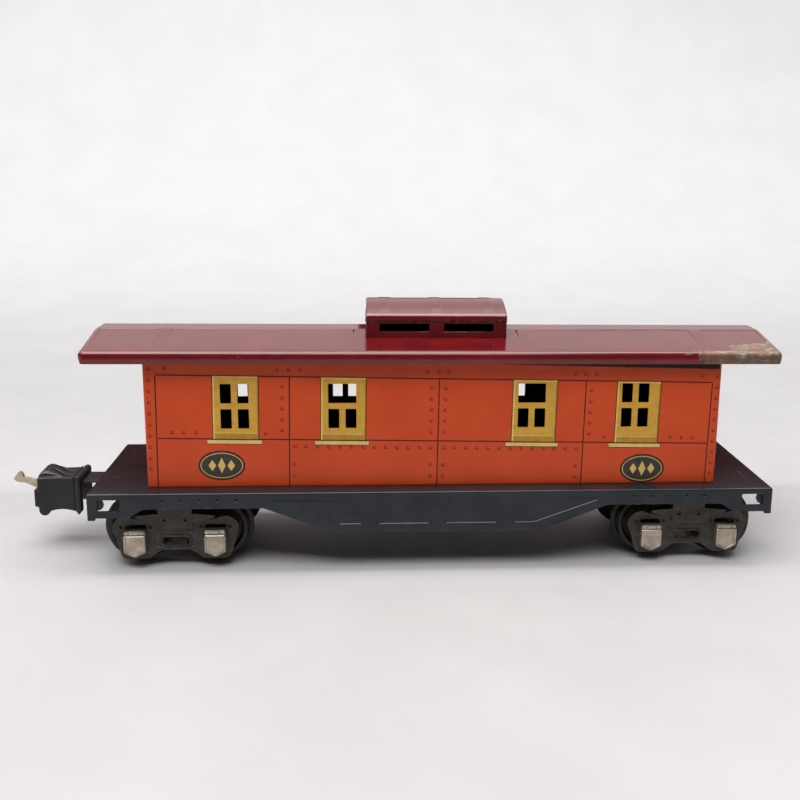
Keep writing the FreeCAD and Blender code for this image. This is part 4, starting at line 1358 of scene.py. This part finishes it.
def build_truck(end, side):
    truck_x = TRUCK_X * side
    body = f"{end}_truck"
    softened(f"{end}_bolster", "truck_steel", body, 0.18, 3)
    for place in ("near", "far"):
        build_side_frame(end, truck_x, place)
    build_covers(end, truck_x)
    build_truck_rivets(end, truck_x)
    for node, look in (("kingpin", "axle_steel"), ("spacer_bush", "axle_steel"),
                       ("kingpin_clip", "spring_steel")):
        softened(f"{end}_{node}", look, body, 0.1)
    build_wheelset(f"{end}_outer", truck_x + AXLE_HALF_BASE * side)
    build_wheelset(f"{end}_inner", truck_x - AXLE_HALF_BASE * side)


# ------------------------------------------------------------------ coupler

HOOK_X, HOOK_Z, HOOK_BORE = -127.0, 21.4, 1.06
BOX_GRAIN, BOX_ROOF, BOX_FRONT, BOX_WAIST, HOOD_EDGE = 0.22, 26.2, 2.0, 0.085, 4.2
RIB_DEPTH, RIB_ROUND, RIB_TOP, RIB_LOW = 2.6, 1.4, 26.9, 13.1


def build_coupler_box():
    """The cast coupler box: the CAD solid with a foundry's soft edges and drawn-in sides."""
    low, high = size_of("coupler_box")
    mesh = node_mesh("coupler_box")
    bmesh.ops.subdivide_edges(mesh, edges=mesh.edges, cuts=1, use_grid_fill=True)
    scale_mesh(mesh, 1 / MM)
    piece = make_shape("coupler_box", mesh, "coupler_black", "coupler", smooth=False)
    remesh = piece.modifiers.new("Cast", "REMESH")
    remesh.mode = "VOXEL"
    remesh.voxel_size = BOX_GRAIN * MM
    ease = piece.modifiers.new("Ease", "SMOOTH")
    ease.factor = 0.5
    ease.iterations = 9
    settle(piece)
    front, back = low.x + BOX_FRONT, high.x - RIB_DEPTH
    for vertex in piece.data.vertices:
        x, y, z = vertex.co / MM
        share = (x - front) / (back - front)
        if 0 < share < 1:
            y *= 1 - BOX_WAIST * math.sin(math.pi * share) ** 1.5
        if z > BOX_ROOF and x < back - 2.0:
            z = BOX_ROOF + (z - BOX_ROOF) * smooth_step((high.y + 0.2 - abs(y)) / HOOD_EDGE)
        if x > back - 0.2:
            off = x - (high.x - RIB_DEPTH / 2)
            room = RIB_ROUND - math.sqrt(max(0.0, RIB_ROUND ** 2 - off * off))
            z = max(min(z, RIB_TOP - room), RIB_LOW + 1.15 * abs(off))
            y = math.copysign(min(abs(y), high.y - room), y)
        vertex.co = Vector((x, y, z)) * MM
    fewer = piece.modifiers.new("Fewer", "DECIMATE")
    fewer.ratio = 0.4
    settle(piece)
    round_shading(piece)


def hook_ring():
    reach = [(0.0, 2.2, 1.6), (-12.5, 2.5, 1.0), (-16.3, 3.3, 0.5), (-16.7, 4.6, 0.3),
             (-17.7, 5.7, 0.5), (-19.8, 2.9, 0.5), (-18.8, 1.9, 0.5), (-15.9, 1.5, 1.2),
             (-11.9, -0.4, 2.0), (0.0, -2.2, 1.6), (2.2, -1.2, 1.2), (2.2, 1.2, 1.2)]
    return rounded([(HOOK_X + along, HOOK_Z + up, turn) for along, up, turn in reach], 4)


def build_hook():
    _, high = size_of("coupler_hook")
    mesh = bmesh.new()
    bore = circle(HOOK_X, HOOK_Z, HOOK_BORE, 20)
    add_prism(mesh, near_wall(0.0), hook_ring(), (bore,), -high.y, high.y)
    make_shape("coupler_hook", mesh, "hook_nickel", "hook", edge=0.3, edge_steps=3)


def build_hook_spring():
    """The hook's return spring, wound round its pin."""
    low, high = size_of("hook_spring")
    wire, coil = 0.26, 1.44
    turns, steps, around = 5, 22, 8
    centre = (low + high) / 2
    mesh = bmesh.new()
    rows = []
    for step in range(turns * steps + 1):
        angle = math.tau * step / steps
        y = low.y + wire + (high.y - low.y - 2 * wire) * step / (turns * steps)
        out = Vector((math.cos(angle), 0, math.sin(angle)))
        middle = Vector((centre.x, y, centre.z)) + out * coil
        rows.append([middle + out * (wire * math.cos(t)) + Vector((0, wire * math.sin(t), 0))
                     for t in between(0.0, math.tau, around)[:-1]])
    add_loft(mesh, rows)
    make_shape("hook_spring", mesh, "spring_steel", "coupler")


def build_coupler():
    softened("coupler_drawbar", "coupler_black", "coupler", 0.15)
    softened("coupler_rivets", "axle_steel", "coupler", 0.1)
    softened("hook_pin", "axle_steel", "coupler", 0.15)
    build_coupler_box()
    build_hook()
    build_hook_spring()


build_frame()
build_corner_tabs()
build_body()
build_body_tabs()
build_print()
build_end_print()
build_roof()
build_cupola_roof()
build_cupola_walls()
build_cupola_bead()
build_truck("front", -1)
build_truck("rear", 1)
build_coupler()

# ------------------------------------------------------------------ floor, light and camera

FLOOR_FRONT, FLOOR_BACK, FLOOR_HALF = -270.0, 320.0, 4000.0
SHEET_HALF = 1500.0
SKY_RADIUS, SKY_HALF = 3000.0, 5000.0
ROOM_RADIUS, ROOM_HIGH = 3900.0, 3600.0
CARD_Y = 60.0
CARD_PANELS = ((-190.0, 0.0, 190.0, 71.0), (-27.0, 71.0, 27.0, 104.0))


def stage_piece(name, mesh, material, hidden=()):
    """A piece of the studio, hidden from the kinds of ray listed."""
    scale_mesh(mesh, MM)
    bmesh.ops.recalc_face_normals(mesh, faces=mesh.faces)
    piece = add_object(name, mesh, material)
    round_shading(piece)
    for kind in hidden:
        setattr(piece, f"visible_{kind}", False)


def stage_grid(name, rows, material, hidden=(), closed=False):
    mesh = bmesh.new()
    add_grid(mesh, rows, closed)
    stage_piece(name, mesh, material, hidden)


NO_LIGHT = ("diffuse", "transmission", "shadow")


def glowing(name, colour, strength, rise=0.0):
    """A lamp-like surface; with a rise it is dimmer low down and brighter by rise at the top."""
    finish = Finish(name)
    if rise:
        strength = finish.plus(finish.spread(finish.axis("Z"), 300, 1500, 0.7, strength),
                               finish.spread(finish.axis("Z"), 2000, 2700, 0.0, rise))
    finish.set(Base_Color="#000000", Emission_Color=colour, Emission_Strength=strength,
               Roughness=1.0, Specular_IOR_Level=0.0)
    return finish.material


def build_stage():
    """A pale sheet that sweeps up behind the car, in a pale room."""
    pale = Finish("pale_sheet")
    # Painted light: the sheet also glows, not at all in front and faintly from the back of the
    # table on, brightening the far floor and the sweep.
    pale.set(Base_Color=pale.mix(pale.cloud(0.3, 0.7, 60, 4), "#bdbaba", "#c3c0c0"),
             Roughness=0.6, Emission_Color="#f0f0f2",
             Emission_Strength=pale.spread(pale.axis("Y"), 150.0, 900.0, 0.0, 0.4))
    pale.bump((pale.noise(0.8, 4), 0.01))
    depth, sweep = 620.0, 420.0
    flat = [(FLOOR_FRONT, 0.0), (FLOOR_BACK, 0.0)]
    curved = [flat[1]] + [(depth + sweep * math.sin(t), sweep * (1 - math.cos(t)))
                          for t in between(0.0, math.pi / 2, 12)]
    for name, section, hidden in (("stage_sheet", flat, ()),
                                  ("stage_sweep", curved, ("glossy",))):
        rows = [[(x, y, z - 0.02) for y, z in section] for x in (-SHEET_HALF, SHEET_HALF)]
        stage_grid(name, rows, pale.material, hidden)
    arch = [(SKY_RADIUS * math.cos(t), SKY_RADIUS * math.sin(t))
            for t in between(0.03, 1.95, 16)]
    stage_grid("stage_sky", [[(x, y, z) for y, z in arch] for x in (-SKY_HALF, SKY_HALF)],
               glowing("stage_white", "#f6f4f6", 1.1, 2.0), ("camera", *NO_LIGHT))
    ends = (-FLOOR_HALF, FLOOR_HALF)
    stage_grid("stage_floor", [[(x, y, -0.2) for y in ends] for x in ends], pale.material,
               ("glossy",))
    stage_grid("stage_room", [[(x, y, z) for x, y in circle(0, 0, ROOM_RADIUS, 48)]
                              for z in (-1.0, ROOM_HIGH)],
               glowing("stage_glow", "#e9e9ea", 0.95), ("glossy", *NO_LIGHT), True)
    mesh = bmesh.new()
    for left, low, right, high in CARD_PANELS:
        add_patch(mesh, far_wall(CARD_Y), rectangle(left, low, right, high))
    stage_piece("stage_card", mesh, glowing("stage_dark", "#5a2018", 1.1),
                ("camera", *NO_LIGHT))


def add_softbox(name, place, target, wide, high, power):
    light = bpy.data.lights.new(name, "AREA")
    light.shape = "RECTANGLE"
    light.size, light.size_y = wide, high
    light.energy = power
    lamp = bpy.data.objects.new(name, light)
    lamp.location = place
    lamp.rotation_mode = "QUATERNION"
    lamp.rotation_quaternion = (Vector(target) - Vector(place)).to_track_quat("-Z", "Y")
    bpy.context.scene.collection.objects.link(lamp)


def build_light():
    """A room that is bright above and behind and dark beyond the front of the table."""
    world = bpy.data.worlds.new("studio")
    world.use_nodes = True
    tree = world.node_tree
    ground = tree.nodes["Background"]
    ground.inputs["Color"].default_value = srgb("#f2f4f8")
    place = tree.nodes.new("ShaderNodeTexCoord").outputs["Generated"]
    lean = tree.nodes.new("ShaderNodeVectorMath")
    lean.operation = "DOT_PRODUCT"
    lean.inputs[1].default_value = (0.0, 1.0, 1.6)
    tree.links.new(place, lean.inputs[0])
    fade = tree.nodes.new("ShaderNodeMapRange")
    fade.interpolation_type = "SMOOTHSTEP"
    for key, number in zip(RANGE_KEYS, (-0.1, 1.0, 0.05, 0.22)):
        fade.inputs[key].default_value = number
    tree.links.new(lean.outputs["Value"], fade.inputs["Value"])
    tree.links.new(fade.outputs[0], ground.inputs["Strength"])
    bpy.context.scene.world = world
    add_softbox("overhead", (0.0, -0.02, 1.1), (0.0, 0.0, 0.0), 1.2, 0.3, 8.5)
    add_softbox("front_fill", (-0.25, -0.75, 1.3), (0.0, 0.0, 0.04), 1.2, 0.7, 19.0)


CAMERA_PLACE = (-0.0227, -0.3720, 0.1386)
CAMERA_TURN, CAMERA_TILT, CAMERA_ROLL = 4.64, 13.07, 0.89
CAMERA_LENS, CAMERA_SHIFT = 48.45, -0.068


def build_camera():
    """Camera at the reference view: level turn, downward tilt, slight roll and shift."""
    turn, tilt, roll = (math.radians(a) for a in (CAMERA_TURN, CAMERA_TILT, CAMERA_ROLL))
    forward = Vector((math.sin(turn) * math.cos(tilt), math.cos(turn) * math.cos(tilt),
                      -math.sin(tilt)))
    right = Vector((math.cos(turn), -math.sin(turn), 0.0))
    up = right.cross(forward)
    rolled_right = right * math.cos(roll) + up * math.sin(roll)
    rolled_up = up * math.cos(roll) - right * math.sin(roll)
    data = bpy.data.cameras.new("camera")
    data.sensor_width = 36.0
    data.lens = CAMERA_LENS
    data.shift_x = CAMERA_SHIFT
    data.clip_start, data.clip_end = 0.01, 20.0
    camera = bpy.data.objects.new("camera", data)
    axes = Matrix((rolled_right, rolled_up, -forward)).transposed()
    camera.matrix_world = Matrix.Translation(CAMERA_PLACE) @ axes.to_4x4()
    bpy.context.scene.collection.objects.link(camera)
    bpy.context.scene.camera = camera


build_stage()
build_light()
build_camera()
bpy.context.scene.view_settings.view_transform = "Standard"
